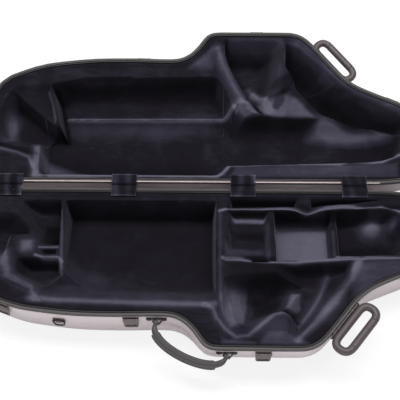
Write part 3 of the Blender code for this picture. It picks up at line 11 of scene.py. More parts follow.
import bmesh
import bpy
import numpy as np
from mathutils import Matrix, Vector


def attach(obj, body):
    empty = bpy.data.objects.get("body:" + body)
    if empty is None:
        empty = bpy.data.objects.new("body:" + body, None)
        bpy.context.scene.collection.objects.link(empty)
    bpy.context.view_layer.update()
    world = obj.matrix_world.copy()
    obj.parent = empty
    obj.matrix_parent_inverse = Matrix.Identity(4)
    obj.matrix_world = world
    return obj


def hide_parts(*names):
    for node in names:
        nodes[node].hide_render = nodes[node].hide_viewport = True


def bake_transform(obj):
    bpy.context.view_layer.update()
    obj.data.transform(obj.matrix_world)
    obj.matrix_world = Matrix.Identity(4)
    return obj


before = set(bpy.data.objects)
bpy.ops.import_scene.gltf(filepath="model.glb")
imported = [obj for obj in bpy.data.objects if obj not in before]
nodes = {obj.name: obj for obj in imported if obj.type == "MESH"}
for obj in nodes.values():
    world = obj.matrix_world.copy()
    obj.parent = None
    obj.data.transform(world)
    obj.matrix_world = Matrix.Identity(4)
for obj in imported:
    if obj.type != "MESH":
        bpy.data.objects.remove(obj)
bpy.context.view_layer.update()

scene = bpy.context.scene

# %% [markdown]
# Sizes that the surfaces share
#
# New surfaces have to meet the CAD pieces beside them, so the sizes that they share are written here
# once, in metres. X runs along the case, Y from the latches to the hinges and Z up. The base lies on
# its back and the lid is turned 165 degrees about the hinge pins.

# %% Sizes in metres
MM = 0.001
CASE_LENGTH = 1.220
BELL_WIDTH = 0.450
BASE_DEPTH = 0.115
HINGE_EDGE_Y = BELL_WIDTH / 2
HINGE_OUT = 0.010
HINGE_Y = HINGE_EDGE_Y + HINGE_OUT
LID_OPEN = math.radians(165)
TRIM_WALL = 0.0015
TRIM_HEIGHT = 0.014
TRIM_WIDTH = 0.011
TRIM_INNER_HEIGHT = 0.0075
SHELL_INSET = 0.0018
SHELL_WALL = 0.0032
WALL_CURVE = 0.80
BACK_HINGE_SHARE = 0.062
LEAN = math.pi - LID_OPEN
BACK_INSET = BACK_HINGE_SHARE * BELL_WIDTH
FLOOR_GAP = 0.0004
LID_DEPTH = math.sqrt((BASE_DEPTH - FLOOR_GAP + (HINGE_OUT + BACK_INSET) * math.sin(LEAN)) ** 2
                      - (BACK_INSET * math.sin(LEAN)) ** 2) / math.cos(LEAN)
print("depth of the lid", round(LID_DEPTH, 4))

# %% [markdown]
# The outline of the case
#
# Both halves share one outline, wide at the crook end, with a bulge for the bell. A table holds it as
# shares of the length and of the bell's width, at the rim and at the back, and a smooth curve runs
# through the rows. Reading it as arrays lets every later surface ask for the same edge.

# %% Outline table and curve
OUTLINE = np.array([
    (-0.500, 0.378, -0.470, 0.378), (-0.496, 0.516, -0.467, 0.500), (-0.484, 0.622, -0.457, 0.590),
    (-0.464, 0.678, -0.441, 0.640), (-0.446, 0.707, -0.427, 0.663), (-0.393, 0.761, -0.382, 0.712),
    (-0.349, 0.786, -0.342, 0.737), (-0.270, 0.809, -0.266, 0.764), (-0.189, 0.814, -0.187, 0.771),
    (-0.115, 0.810, -0.117, 0.768), (-0.088, 0.811, -0.094, 0.767), (-0.069, 0.821, -0.078, 0.768),
    (-0.050, 0.852, -0.062, 0.772), (-0.034, 0.899, -0.047, 0.779), (-0.019, 0.957, -0.032, 0.788),
    (-0.007, 0.986, -0.018, 0.795), (0.012, 0.999, 0.004, 0.801), (0.057, 1.000, 0.052, 0.804),
    (0.161, 1.000, 0.158, 0.802), (0.187, 0.994, 0.182, 0.797), (0.206, 0.973, 0.200, 0.785),
    (0.225, 0.929, 0.219, 0.764), (0.256, 0.827, 0.247, 0.715), (0.287, 0.722, 0.274, 0.657),
    (0.308, 0.668, 0.295, 0.617), (0.331, 0.627, 0.320, 0.582), (0.366, 0.582, 0.358, 0.543),
    (0.416, 0.524, 0.407, 0.482), (0.451, 0.469, 0.437, 0.428), (0.480, 0.389, 0.458, 0.357),
    (0.498, 0.289, 0.469, 0.279), (0.498, 0.189, 0.469, 0.201), (0.482, 0.100, 0.456, 0.136),
    (0.451, 0.042, 0.433, 0.096), (0.407, 0.012, 0.400, 0.076), (0.352, 0.000, 0.350, 0.064),
    (0.246, 0.000, 0.246, 0.062), (-0.246, 0.000, -0.246, 0.062), (-0.440, 0.000, -0.430, 0.062),
    (-0.465, 0.000, -0.448, 0.066), (-0.485, 0.020, -0.461, 0.086), (-0.496, 0.078, -0.468, 0.132),
    (-0.500, 0.210, -0.470, 0.234)])
CURVE_STEPS = 14


def smooth_curve(rows):
    """A closed curve through the rows: each stretch is a cubic set by four neighbouring rows, or a
    straight line where three rows in a row have the same Y."""
    before, start = np.roll(rows, 1, 0)[:, None], rows[:, None]
    end, after = np.roll(rows, -1, 0)[:, None], np.roll(rows, -2, 0)[:, None]
    t = (np.arange(CURVE_STEPS) / CURVE_STEPS)[None, :, None]
    curved = 0.5 * (2 * start + (end - before) * t + (2 * before - 5 * start + 4 * end - after) * t ** 2
                    + (3 * start - before - 3 * end + after) * t ** 3)
    level = (start[..., 1:] == end[..., 1:]) & ((before[..., 1:] == start[..., 1:])
                                                | (end[..., 1:] == after[..., 1:]))
    return np.where(level, start + (end - start) * t, curved).reshape(-1, 2)


def to_metres(columns):
    """Shares to metres: X times the length, and Y from the hinge edge by the share of the width."""
    return columns * (CASE_LENGTH, -BELL_WIDTH) + (0, HINGE_EDGE_Y)


def side_normals(path, closed=False):
    """Unit vectors square to a path, to its left. Round the outline they point into the case."""
    along = np.roll(path, -1, 0) - np.roll(path, 1, 0) if closed else np.gradient(path, axis=0)
    along = along / np.maximum(np.linalg.norm(along, axis=1, keepdims=True), 1e-9)
    return np.stack([-along[:, 1], along[:, 0]], 1)


RIM = smooth_curve(to_metres(OUTLINE[:, :2]))
BACK = smooth_curve(to_metres(OUTLINE[:, 2:]))
RIM_IN = side_normals(RIM, closed=True)
BACK_IN = side_normals(BACK, closed=True)
print("outline points", len(RIM))

# %% [markdown]
# Helpers for surfaces
#
# Almost every piece here is a grid of points: rows times columns. One helper turns such an array into
# a mesh with faces and a UV map in metres, and two more place a half's points in the world. The base's
# rim plane is level. The lid's points are worked out closed, above the same plane, and then turned.

# %% Surface helpers

def grid_faces(rows, columns, wrap_rows=False, wrap_columns=False):
    """Quads between neighbouring grid points, closed round where asked."""
    r = np.arange(rows if wrap_rows else rows - 1)[:, None]
    c = np.arange(columns if wrap_columns else columns - 1)[None, :]
    r2, c2 = (r + 1) % rows, (c + 1) % columns
    quads = np.stack([r * columns + c, r * columns + c2, r2 * columns + c2, r2 * columns + c], -1)
    return quads.reshape(-1, 4)


def add_mesh(name, points, faces, material, uv=None, smooth_degrees=40):
    """A mesh object at the origin from point and face arrays."""
    mesh = bpy.data.meshes.new(name)
    mesh.from_pydata(np.asarray(points).reshape(-1, 3).tolist(), [], [list(f) for f in faces])
    mesh.validate()
    if uv is not None:
        layer = mesh.uv_layers.new(name="UVMap")
        corner = np.empty(len(mesh.loops), np.int32)
        mesh.loops.foreach_get("vertex_index", corner)
        layer.data.foreach_set("uv", np.asarray(uv, np.float32).reshape(-1, 2)[corner].ravel())
    mesh.shade_smooth()
    mesh.set_sharp_from_angle(angle=math.radians(smooth_degrees))
    mesh.materials.append(material)
    item = bpy.data.objects.new(name, mesh)
    scene.collection.objects.link(item)
    return item


def place_base(points):
    """Base points: Z is counted from the rim plane."""
    return points + (0, 0, BASE_DEPTH)


def place_lid(points):
    """Lid points: worked out closed above the rim plane, then turned open about the hinge pins."""
    y = points[..., 1] - HINGE_Y
    z = points[..., 2]
    c, s = math.cos(LID_OPEN), math.sin(LID_OPEN)
    return np.stack([points[..., 0], HINGE_Y + y * c + z * s, BASE_DEPTH - y * s + z * c], -1)


HALVES = {"base": (place_base, -1, BASE_DEPTH), "lid": (place_lid, 1, LID_DEPTH)}


def smoothstep(t):
    """0 below 0, 1 above 1 and a smooth rise between."""
    t = np.clip(t, 0, 1)
    return t * t * (3 - 2 * t)


print("halves", list(HALVES))

# %% [markdown]
# Shader groups
#
# Fabric pile, scuffs and fine grain turn up in several finishes, so each is a small node group that is
# built once. A group puts out masks and heights; the Principled shader stays in each material. The
# patterns read Object coordinates, which are metres here, so a scale of 200 gives 5 mm patches.

# %% Group helper and the groups

def new_group(name, inputs, outputs):
    """An empty shader group with float sockets and the nodes for its ends."""
    group = bpy.data.node_groups.new(name, "ShaderNodeTree")
    for label, default in inputs:
        socket = group.interface.new_socket(label, in_out="INPUT", socket_type="NodeSocketFloat")
        socket.default_value = default
    for label in outputs:
        group.interface.new_socket(label, in_out="OUTPUT", socket_type="NodeSocketFloat")
    return group, group.nodes.new("NodeGroupInput"), group.nodes.new("NodeGroupOutput")


def noise(tree, vector, scale, detail=3.0, roughness=0.55, distortion=0.0):
    """A noise texture whose scale is a number or a socket."""
    node = tree.nodes.new("ShaderNodeTexNoise")
    tree.links.new(vector, node.inputs["Vector"])
    if isinstance(scale, (int, float)):
        node.inputs["Scale"].default_value = scale
    else:
        tree.links.new(scale, node.inputs["Scale"])
    node.inputs["Detail"].default_value = detail
    node.inputs["Roughness"].default_value = roughness
    node.inputs["Distortion"].default_value = distortion
    return node.outputs["Fac"]


def remap(tree, value, low, high, to_low=0.0, to_high=1.0):
    """Stretch a value from one range to another, clamped."""
    node = tree.nodes.new("ShaderNodeMapRange")
    tree.links.new(value, node.inputs["Value"])
    for label, number in (("From Min", low), ("From Max", high), ("To Min", to_low),
                          ("To Max", to_high)):
        node.inputs[label].default_value = number
    return node.outputs["Result"]


def math_node(tree, operation, first, second):
    """One maths step between two sockets or numbers."""
    node = tree.nodes.new("ShaderNodeMath")
    node.operation = operation
    for socket, value in zip(node.inputs, (first, second)):
        if isinstance(value, (int, float)):
            socket.default_value = value
        else:
            tree.links.new(value, socket)
    return node.outputs[0]


def object_vector(tree, scale=(1, 1, 1)):
    """Object coordinates in metres, stretched by a Mapping node where asked."""
    source = tree.nodes.new("ShaderNodeTexCoord").outputs["Object"]
    if tuple(scale) == (1, 1, 1):
        return source
    mapping = tree.nodes.new("ShaderNodeMapping")
    mapping.inputs["Scale"].default_value = scale
    tree.links.new(source, mapping.inputs["Vector"])
    return mapping.outputs["Vector"]


def build_pile_group():
    """Brushed patches in the pile and the fine tufts themselves."""
    group, ends, out = new_group("pile", (("Patch Scale", 16.0), ("Tuft Scale", 1100.0)),
                                 ("Nap", "Tufts"))
    vector = object_vector(group)
    broad = noise(group, vector, ends.outputs["Patch Scale"], 4.0, 0.6, 0.6)
    streak = noise(group, object_vector(group, (0.35, 1.6, 1.0)), 90.0, 3.0)
    mixed = math_node(group, "ADD", math_node(group, "MULTIPLY", broad, 0.7),
                      math_node(group, "MULTIPLY", streak, 0.3))
    group.links.new(remap(group, mixed, 0.36, 0.66), out.inputs["Nap"])
    group.links.new(noise(group, vector, ends.outputs["Tuft Scale"], 2.0, 0.7), out.inputs["Tufts"])
    return group


def build_scuff_group():
    """Sparse worn marks, a broad unevenness and a fine grain."""
    group, ends, out = new_group("scuffs", (("Mark Scale", 60.0), ("Grain Scale", 900.0)),
                                 ("Marks", "Uneven", "Grain"))
    vector = object_vector(group)
    marks = noise(group, vector, ends.outputs["Mark Scale"], 6.0, 0.7, 1.2)
    group.links.new(remap(group, marks, 0.60, 0.70), out.inputs["Marks"])
    group.links.new(noise(group, vector, 14.0, 3.0), out.inputs["Uneven"])
    group.links.new(noise(group, vector, ends.outputs["Grain Scale"], 2.0), out.inputs["Grain"])
    return group


PILE = build_pile_group()
SCUFFS = build_scuff_group()
print("groups", PILE.name, SCUFFS.name)

# %% [markdown]
# Helpers for materials
#
# Each finish starts from one Principled shader. These helpers make it, place the groups in it, blend
# its colours and feed its bump, so that a hard finish such as a lacquer takes a single line.

# %% Material helpers

def new_material(name, roughness=0.5, metallic=0.0, coat=0.0):
    """A Principled material and its shader."""
    material = bpy.data.materials.new(name)
    material.use_nodes = True
    shader = material.node_tree.nodes["Principled BSDF"]
    shader.inputs["Roughness"].default_value = roughness
    shader.inputs["Metallic"].default_value = metallic
    shader.inputs["Coat Weight"].default_value = coat
    return material, material.node_tree, shader


def use_group(tree, group, **values):
    """Place a group in a material with its own values."""
    node = tree.nodes.new("ShaderNodeGroup")
    node.node_tree = group
    for label, number in values.items():
        node.inputs[label.replace("_", " ")].default_value = number
    return node.outputs


def mix_colour(tree, factor, first, second):
    """Blend two colours; each is a tuple or a socket."""
    node = tree.nodes.new("ShaderNodeMix")
    node.data_type = "RGBA"
    tree.links.new(factor, node.inputs["Factor"])
    for socket, value in zip((node.inputs[6], node.inputs[7]), (first, second)):
        if isinstance(value, tuple):
            socket.default_value = (*value, 1)
        else:
            tree.links.new(value, socket)
    return node.outputs[2]


def add_bump(tree, shader, height, distance, strength=0.5):
    """Feed a height in metres to the shader's normal."""
    node = tree.nodes.new("ShaderNodeBump")
    node.inputs["Strength"].default_value = strength
    node.inputs["Distance"].default_value = distance
    tree.links.new(height, node.inputs["Height"])
    tree.links.new(node.outputs["Normal"], shader.inputs["Normal"])


def coat_finish(name, dark, light, roughness, metallic=0.0, coat=0.0, mark=None, marks=60.0,
                grain=900.0, grain_depth=0.00004):
    """A hard finish: uneven colour, worn marks where asked, varied roughness and a fine grain."""
    material, tree, shader = new_material(name, roughness, metallic, coat)
    scuffs = use_group(tree, SCUFFS, Mark_Scale=marks, Grain_Scale=grain)
    colour = mix_colour(tree, scuffs["Uneven"], dark, light)
    if mark:
        colour = mix_colour(tree, math_node(tree, "MULTIPLY", scuffs["Marks"], 0.5), colour, mark)
    tree.links.new(colour, shader.inputs["Base Color"])
    tree.links.new(remap(tree, scuffs["Grain"], 0.3, 0.7, roughness - 0.06, roughness + 0.08),
                   shader.inputs["Roughness"])
    add_bump(tree, shader, scuffs["Grain"], grain_depth)
    return material


print("material helpers ready")

# %% [markdown]
# Finishes
#
# The plush is nearly black and gets its look from sheen: pile seen edge on is lighter than pile seen
# from above. Its colour also carries painted sheen, painted highlights and painted shade, stored on its
# points. The shells have a pinkish silver lacquer over moulded fibreglass. The metal parts have a
# grey brown coating with worn spots, and the handles have leather grain and plastic grain.

# %% Finishes

# The plush's colour by its stored tone: 0.34 is its own dark tone, the lighter stops paint sheen and
# highlights, and the darkest stop paints shade.
PLUSH_RAMP = ((0.0, (0.0022, 0.0018, 0.0030)), (0.34, (0.0105, 0.0092, 0.0140)),
              (0.62, (0.034, 0.031, 0.048)), (1.0, (0.112, 0.108, 0.147)))


def plush_finish():
    """The pile: a stored tone of painted sheen and shade, with random patches, picks its colour, sheen
    lights its edge and fine tufts roughen it.
    """
    material, tree, shader = new_material("dark plush", 1.0)
    pile = use_group(tree, PILE, Patch_Scale=13.0, Tuft_Scale=1100.0)
    painted_light_and_shade = tree.nodes.new("ShaderNodeAttribute")
    painted_light_and_shade.attribute_name = "tone_and_painted_light"
    tone_and_painted_light = math_node(tree, "ADD", painted_light_and_shade.outputs["Fac"],
                    math_node(tree, "MULTIPLY", math_node(tree, "SUBTRACT", pile["Nap"], 0.5), 0.16))
    ramp = tree.nodes.new("ShaderNodeValToRGB")
    tree.links.new(tone_and_painted_light, ramp.inputs["Fac"])
    stops = ramp.color_ramp.elements
    for place, colour in PLUSH_RAMP:
        stop = stops.new(place) if 0 < place < 1 else stops[-1 if place else 0]
        stop.color = (*colour, 1)
    tree.links.new(ramp.outputs["Color"], shader.inputs["Base Color"])
    shader.inputs["Specular IOR Level"].default_value = 0.12
    shader.inputs["Sheen Weight"].default_value = 0.16
    shader.inputs["Sheen Roughness"].default_value = 0.30
    shader.inputs["Sheen Tint"].default_value = (0.62, 0.60, 0.80, 1)
    add_bump(tree, shader, pile["Tufts"], 0.0006, 0.35)
    return material


plush = plush_finish()
silver = coat_finish("silver shell lacquer", (0.56, 0.49, 0.51), (0.66, 0.585, 0.605), 0.36,
                     metallic=0.25, coat=0.4, mark=(0.62, 0.56, 0.57), marks=18.0, grain=700.0)
trim_coat = coat_finish("rim coating", (0.038, 0.031, 0.032), (0.060, 0.050, 0.051), 0.5,
                        metallic=0.1, mark=(0.12, 0.105, 0.105), marks=90.0)
# Two finishes for stretches of the rim trims: a painted highlight on the outer corner by the hinges, and
# painted shade.
trim_painted_highlight = coat_finish("rim edge painted highlight", (0.34, 0.27, 0.27), (0.46, 0.38, 0.375), 0.35,
                          metallic=0.5, mark=(0.6, 0.52, 0.51), marks=60.0)
trim_painted_shade = coat_finish("rim edge painted shade", (0.010, 0.0085, 0.0088), (0.017, 0.0145, 0.015), 0.5,
                        mark=(0.05, 0.045, 0.045), marks=90.0)
seal_rubber = coat_finish("seal rubber", (0.010, 0.010, 0.011), (0.016, 0.016, 0.017), 0.8)
latch_coat = coat_finish("latch coating", (0.098, 0.078, 0.080), (0.140, 0.114, 0.117), 0.45,
                         metallic=0.2, mark=(0.26, 0.23, 0.23), marks=140.0)
bracket_coat = coat_finish("blackened bracket", (0.020, 0.016, 0.017), (0.036, 0.029, 0.031), 0.4,
                           metallic=0.3, mark=(0.12, 0.10, 0.10), marks=140.0)
hinge_steel = coat_finish("hinge steel", (0.42, 0.40, 0.40), (0.56, 0.54, 0.54), 0.32, metallic=1.0)
dark_steel = coat_finish("dark pin steel", (0.035, 0.031, 0.032), (0.060, 0.055, 0.055), 0.4,
                         metallic=0.8)
handle_leather = coat_finish("handle leather", (0.040, 0.035, 0.036), (0.070, 0.063, 0.063), 0.48,
                             mark=(0.13, 0.12, 0.12), marks=110.0, grain=420.0, grain_depth=0.0004)
sewing_thread = coat_finish("sewing thread", (0.16, 0.15, 0.15), (0.23, 0.21, 0.21), 0.8, grain=2200.0)
handle_plastic = coat_finish("handle plastic", (0.058, 0.044, 0.047), (0.092, 0.072, 0.076), 0.46,
                             mark=(0.17, 0.14, 0.145), marks=70.0, grain=600.0, grain_depth=0.0002)

print("finishes", len(bpy.data.materials))

# %% [markdown]
# The moulded shells
#
# Each half is a thin wall: upright behind the rim trim, then curving in to a flat back. Its section is
# a superellipse between the rim outline and the back outline. The CAD shell has few facets, so each
# is replaced by the same surface with many more points.

# %% Shell surfaces
WALL_ROWS = 26


def hull_ring(share, depth, inset):
    """One ring of the wall: share 0 is where it leaves the upright part, 1 is the flat back.
    Drawn in by 1 - cos^0.8 and lowered by sin^0.8 of a quarter turn times the share."""
    angle = math.pi / 2 * share
    drawn = 1 - max(math.cos(angle), 0.0) ** WALL_CURVE if share < 1 else 1.0
    rim = RIM + RIM_IN * inset
    back = BACK + BACK_IN * (inset - SHELL_INSET)
    height = TRIM_HEIGHT + (depth - (inset - SHELL_INSET) - TRIM_HEIGHT) * math.sin(angle) ** WALL_CURVE
    return rim + (back - rim) * drawn, height


def hull_rows(depth, inset, side, top):
    """All the rings of one face of the wall, from its upper edge to the back."""
    rim = RIM + RIM_IN * inset
    rows = [np.column_stack([rim, np.full(len(rim), side * top)])]
    for step in range(WALL_ROWS + 1):
        ring, height = hull_ring(step / WALL_ROWS, depth, inset)
        rows.append(np.column_stack([ring, np.full(len(ring), side * height)]))
    return rows


def add_shell(half):
    """Outer face, inner face and the edge between them, closed by the two flat backs."""
    place, side, depth = HALVES[half]
    top = TRIM_WALL + 0.0006
    outer = hull_rows(depth, SHELL_INSET, side, top)
    inner = hull_rows(depth, SHELL_INSET + SHELL_WALL, side, top)
    rows = np.array(outer[::-1] + inner)
    count = rows.shape[1]
    faces = grid_faces(len(rows), count, wrap_columns=True)
    last = (len(rows) - 1) * count
    caps = [list(range(count))[::-1], list(range(last, last + count))]
    if side > 0:
        faces, caps = faces[:, ::-1], [cap[::-1] for cap in caps]
    shell = add_mesh(f"{half}_shell_smooth", place(rows), faces.tolist() + caps, silver)
    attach(shell, half)
    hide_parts(f"{half}_shell")
    return shell


shells = [add_shell(half) for half in HALVES]
print("shells", [len(s.data.polygons) for s in shells])

# %% [markdown]
# The rim trims and the seal
#
# A coated extrusion caps the edge of each shell. The base's has a tongue that enters a groove with a
# rubber seal in the lid's. Each is one closed profile of insets and heights, rounded at its outer
# corners and carried round the outline. Its colour is painted shade next to the lining and along the
# lid's outer edge, and a painted highlight on the outer corner by the hinges.

# %% Trims and seal

def sweep(name, profile, half, material, body_node, dark=None):
    """Carry a closed profile of (inset, height) round the rim outline. A function of the inset and the
    height says which stretches get painted shade, 1, have the shell's lacquer, 2, or get a painted
    highlight, 3."""
    place, side, _ = HALVES[half]
    profile = np.array(profile)
    ring = RIM[:, None, :] + RIM_IN[:, None, :] * profile[None, :, :1]
    height = np.broadcast_to(side * profile[:, 1], ring.shape[:2])
    rows = np.concatenate([ring, height[..., None]], -1)
    faces = grid_faces(*rows.shape[:2], wrap_rows=True, wrap_columns=True)
    piece = add_mesh(name, place(rows), faces, material, smooth_degrees=50)
    if dark:
        middle = (profile + np.roll(profile, -1, 0)) / 2
        by_hinge = (RIM[:, 1] > HINGE_EDGE_Y - 0.0005)[:, None]
        shade = dark(middle[None, :, 0], middle[None, :, 1], by_hinge)
        # The added slots: painted shade, the shell's lacquer and a painted highlight.
        for extra in (trim_painted_shade, silver, trim_painted_highlight):
            piece.data.materials.append(extra)
        piece.data.polygons.foreach_set("material_index", shade.astype(np.int32).ravel())
    flip_if_inside_out(piece)
    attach(piece, half)
    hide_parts(body_node)
    return piece


def flip_if_inside_out(piece):
    """Turn the faces round where the mesh encloses a negative volume."""
    mesh = piece.data
    mesh.calc_loop_triangles()
    points = np.empty(len(mesh.vertices) * 3, np.float32)
    mesh.vertices.foreach_get("co", points)
    corners = np.empty(len(mesh.loop_triangles) * 3, np.int32)
    mesh.loop_triangles.foreach_get("vertices", corners)
    a, b, c = points.reshape(-1, 3)[corners.reshape(-1, 3)].transpose(1, 0, 2).astype(float)
    if np.einsum("ij,ij->", a, np.cross(b, c)) < 0:
        mesh.flip_normals()


def arc(centre, radius, start, end, steps=4):
    """Points of an arc in the section, in degrees."""
    angles = np.radians(np.linspace(start, end, steps + 1))
    return [(centre[0] + radius * math.cos(a), centre[1] + radius * math.sin(a)) for a in angles]


FACE = 0.0003
EDGE = 0.0009
WALL_END = SHELL_INSET + SHELL_WALL + 0.0003
CHAMFER = 0.0005
TONGUE_NEAR, TONGUE_FAR, TONGUE_HIGH = 0.0068, 0.0090, 0.0030
GROOVE_NEAR, GROOVE_FAR, GROOVE_DEEP = 0.0065, 0.0093, 0.0053
trim_outside = (arc((EDGE, FACE + EDGE), EDGE, 270, 180) + [(0.0, 0.0046), (0.00035, 0.0053),
                (0.0, 0.0060), (0.0, 0.0095), (0.0, TRIM_HEIGHT - 0.0006),
                (0.0005, TRIM_HEIGHT), (TRIM_WALL, TRIM_HEIGHT),
                (TRIM_WALL, FACE + TRIM_WALL), (WALL_END, FACE + TRIM_WALL), (WALL_END, TRIM_INNER_HEIGHT),
                (TRIM_WIDTH, TRIM_INNER_HEIGHT)] + arc((TRIM_WIDTH - EDGE, FACE + EDGE), EDGE, 0, -90))
tongue = [(TRIM_WIDTH - EDGE, FACE), (TONGUE_FAR, FACE), (TONGUE_FAR, -TONGUE_HIGH + CHAMFER),
          (TONGUE_FAR - CHAMFER, -TONGUE_HIGH), (TONGUE_NEAR + CHAMFER, -TONGUE_HIGH),
          (TONGUE_NEAR, -TONGUE_HIGH + CHAMFER), (TONGUE_NEAR, FACE), (0.0042, FACE)]
groove = [(GROOVE_FAR, FACE), (GROOVE_FAR, GROOVE_DEEP), (GROOVE_NEAR, GROOVE_DEEP),
          (GROOVE_NEAR, FACE), (0.0046, FACE), (0.0022, FACE)]
seal = ([(GROOVE_NEAR + 0.0003, GROOVE_DEEP - 0.0003), (GROOVE_NEAR + 0.0003, GROOVE_DEEP - 0.0013)]
        + arc(((GROOVE_NEAR + GROOVE_FAR) / 2, GROOVE_DEEP - 0.0010), 0.0009, 200, 340, 6)
        + [(GROOVE_FAR - 0.0003, GROOVE_DEEP - 0.0013), (GROOVE_FAR - 0.0003, GROOVE_DEEP - 0.0003)])


def base_shades(inset, height, by_hinge):
    """Painted shade inside the edge, lacquer low on the wall, and a painted highlight on the outer
    corner by the hinges.
    """
    edge = by_hinge & (inset < 0.0016) & (height < 0.0012)
    lacquer = (inset < 0.001) & (height > 0.0095) & ~by_hinge
    return np.where(edge, 3, np.where(inset > 0.0042, 1, 2 * lacquer))


def lid_shades(inset, height, by_hinge):
    """Painted shade at both edges, and a painted highlight on the outer corner by the hinges."""
    edge = by_hinge & (inset < 0.0022) & (height < 0.0042)
    return np.where(edge, 3, (inset < 0.0046) | (inset > TRIM_WIDTH - 0.0005))


rims = [sweep("base_rim", trim_outside + tongue, "base", trim_coat, "base_rim_trim", base_shades),
        sweep("lid_rim", trim_outside + groove, "lid", trim_coat, "lid_rim_trim", lid_shades),
        sweep("lid_seal", seal, "lid", seal_rubber, "lid_rim_seal")]
print("rims", [len(r.data.polygons) for r in rims])

# %% [markdown]
# The plush linings
#
# Foam is moulded into deep pockets and covered with one stretch of plush, so each half is a landscape:
# a level flange, steep or gentle walls and soft ridges where two pockets meet. The height of every
# point is worked out from short tables. A pocket is a convex outline whose edges each have their own
# wall width, and its depth is a floor times a smooth rise that all its edges limit. Overlapping
# pockets are joined by a smooth maximum, and pads, ridges and grooves are then added. Tables are in
# millimetres: X along the case and W from the hinge edge.

# %% Landscape functions

LIP = 3.0
FOOT = 0.45
BLEND = 9.0
DEEPEST = 106.0


def soft_rise(x, w, edges):
    """0 outside a convex outline and 1 inside it. Each edge has its own wall width in millimetres.
    Every wall is a ramp with a rounded lip and a filleted foot, and corners are rounded by adding the
    cubes of what the ramps still lack."""
    edges = np.array(edges, float)
    run = np.roll(edges[:, :2], -1, 0) - edges[:, :2]
    turn = np.sign(np.sum(run[:, 0] * np.roll(run[:, 1], -1) - run[:, 1] * np.roll(run[:, 0], -1)))
    lack = np.zeros_like(x)
    for (x0, w0, wall), (dx, dw) in zip(edges, run):
        inside = np.maximum(turn * (dx * (w - w0) - dw * (x - x0)) / math.hypot(dx, dw), 0)
        lip = min(LIP, wall)
        ramp = (np.sqrt(inside ** 2 + lip ** 2) - lip) / wall
        ramp = np.minimum(ramp, 1) - np.maximum(FOOT - np.abs(ramp - 1), 0) ** 2 / (4 * FOOT)
        lack += (1 - np.clip(ramp, 0, 1)) ** 3
    return np.clip(1 - np.cbrt(lack), 0, 1)


def line_distance(x, w, line):
    """The distance to a line of straight stretches."""
    line = np.array(line, float)
    nearest = np.full_like(x, 1e9)
    for (x0, w0), (x1, w1) in zip(line, line[1:]):
        dx, dw = x1 - x0, w1 - w0
        t = np.clip(((x - x0) * dx + (w - w0) * dw) / (dx * dx + dw * dw), 0, 1)
        nearest = np.minimum(nearest, np.hypot(x - x0 - t * dx, w - w0 - t * dw))
    return nearest


def pad_height(x, w, height, centre, radii, turn=0.0):
    """A smooth mound with an oval foot."""
    c, s = math.cos(math.radians(turn)), math.sin(math.radians(turn))
    dx, dw = x - centre[0], w - centre[1]
    a = (dx * c + dw * s) / radii[0]
    b = (dw * c - dx * s) / radii[1]
    return height * np.exp(-1.5 * (a * a + b * b))


def landscape(x, w, table):
    """Depth below the lining's flange, in millimetres."""
    depth = np.zeros_like(x)
    for floor, edges in table["pockets"]:
        other = floor * soft_rise(x, w, edges)
        deeper = np.maximum(depth, other)
        blend = BLEND * (1.02 - deeper / DEEPEST)
        depth = deeper + np.maximum(blend - np.abs(depth - other), 0) ** 2 / (4 * blend)
    for height, centre, radii, turn in table["pads"]:
        depth = depth - pad_height(x, w, height, centre, radii, turn)
    for height, width, line in table["ridges"]:
        depth = depth - height * np.exp(-line_distance(x, w, line) / width)
    for height, width, line in table["grooves"]:
        depth = depth + height * np.exp(-(line_distance(x, w, line) / width) ** 2)
    return depth


def paint_tone_and_light(x, w, table):
    """The plush's tone, 0 darkest and 1 lightest: painted sheen and highlights where the tables add,
    painted shade where they take away.
    """
    tone_and_painted_light = np.full_like(x, table["tone_and_painted_light"])
    for value, edges in table["painted_light_and_shade"]:
        tone_and_painted_light = tone_and_painted_light + value * soft_rise(x, w, edges)
    for value, centre, radii, turn in table["painted_highlight_ovals"]:
        tone_and_painted_light = tone_and_painted_light + pad_height(x, w, value, centre, radii, turn)
    for value, width, line in table["painted_light_and_shade_lines"]:
        tone_and_painted_light = tone_and_painted_light + value * np.exp(-(line_distance(x, w, line) / width) ** 2)
    return np.clip(tone_and_painted_light, 0, 1)


def fabric_waves(x, w, seed, count=14, shortest=55, longest=190, height=0.8):
    """Slow waves of the stretched plush: a sum of sines with seeded directions and phases."""
    rng = np.random.default_rng(seed)
    total = np.zeros_like(x)
    for length, angle, phase in zip(rng.uniform(shortest, longest, count),
                                    rng.uniform(0, math.pi, count), rng.uniform(0, 6.283, count)):
        along = x * math.cos(angle) + w * math.sin(angle)
        total += np.sin(2 * math.pi * along / length + phase + 0.8 * np.sin(w / 47 + phase))
    return total * height / math.sqrt(count)


wall_share = soft_rise(np.array([10.0]), np.array([50.0]), [(0, 0, 20), (0, 100, 20), (100, 50, 20)])
print("a wall 20 mm wide is at", wall_share, "of its depth after 10 mm")
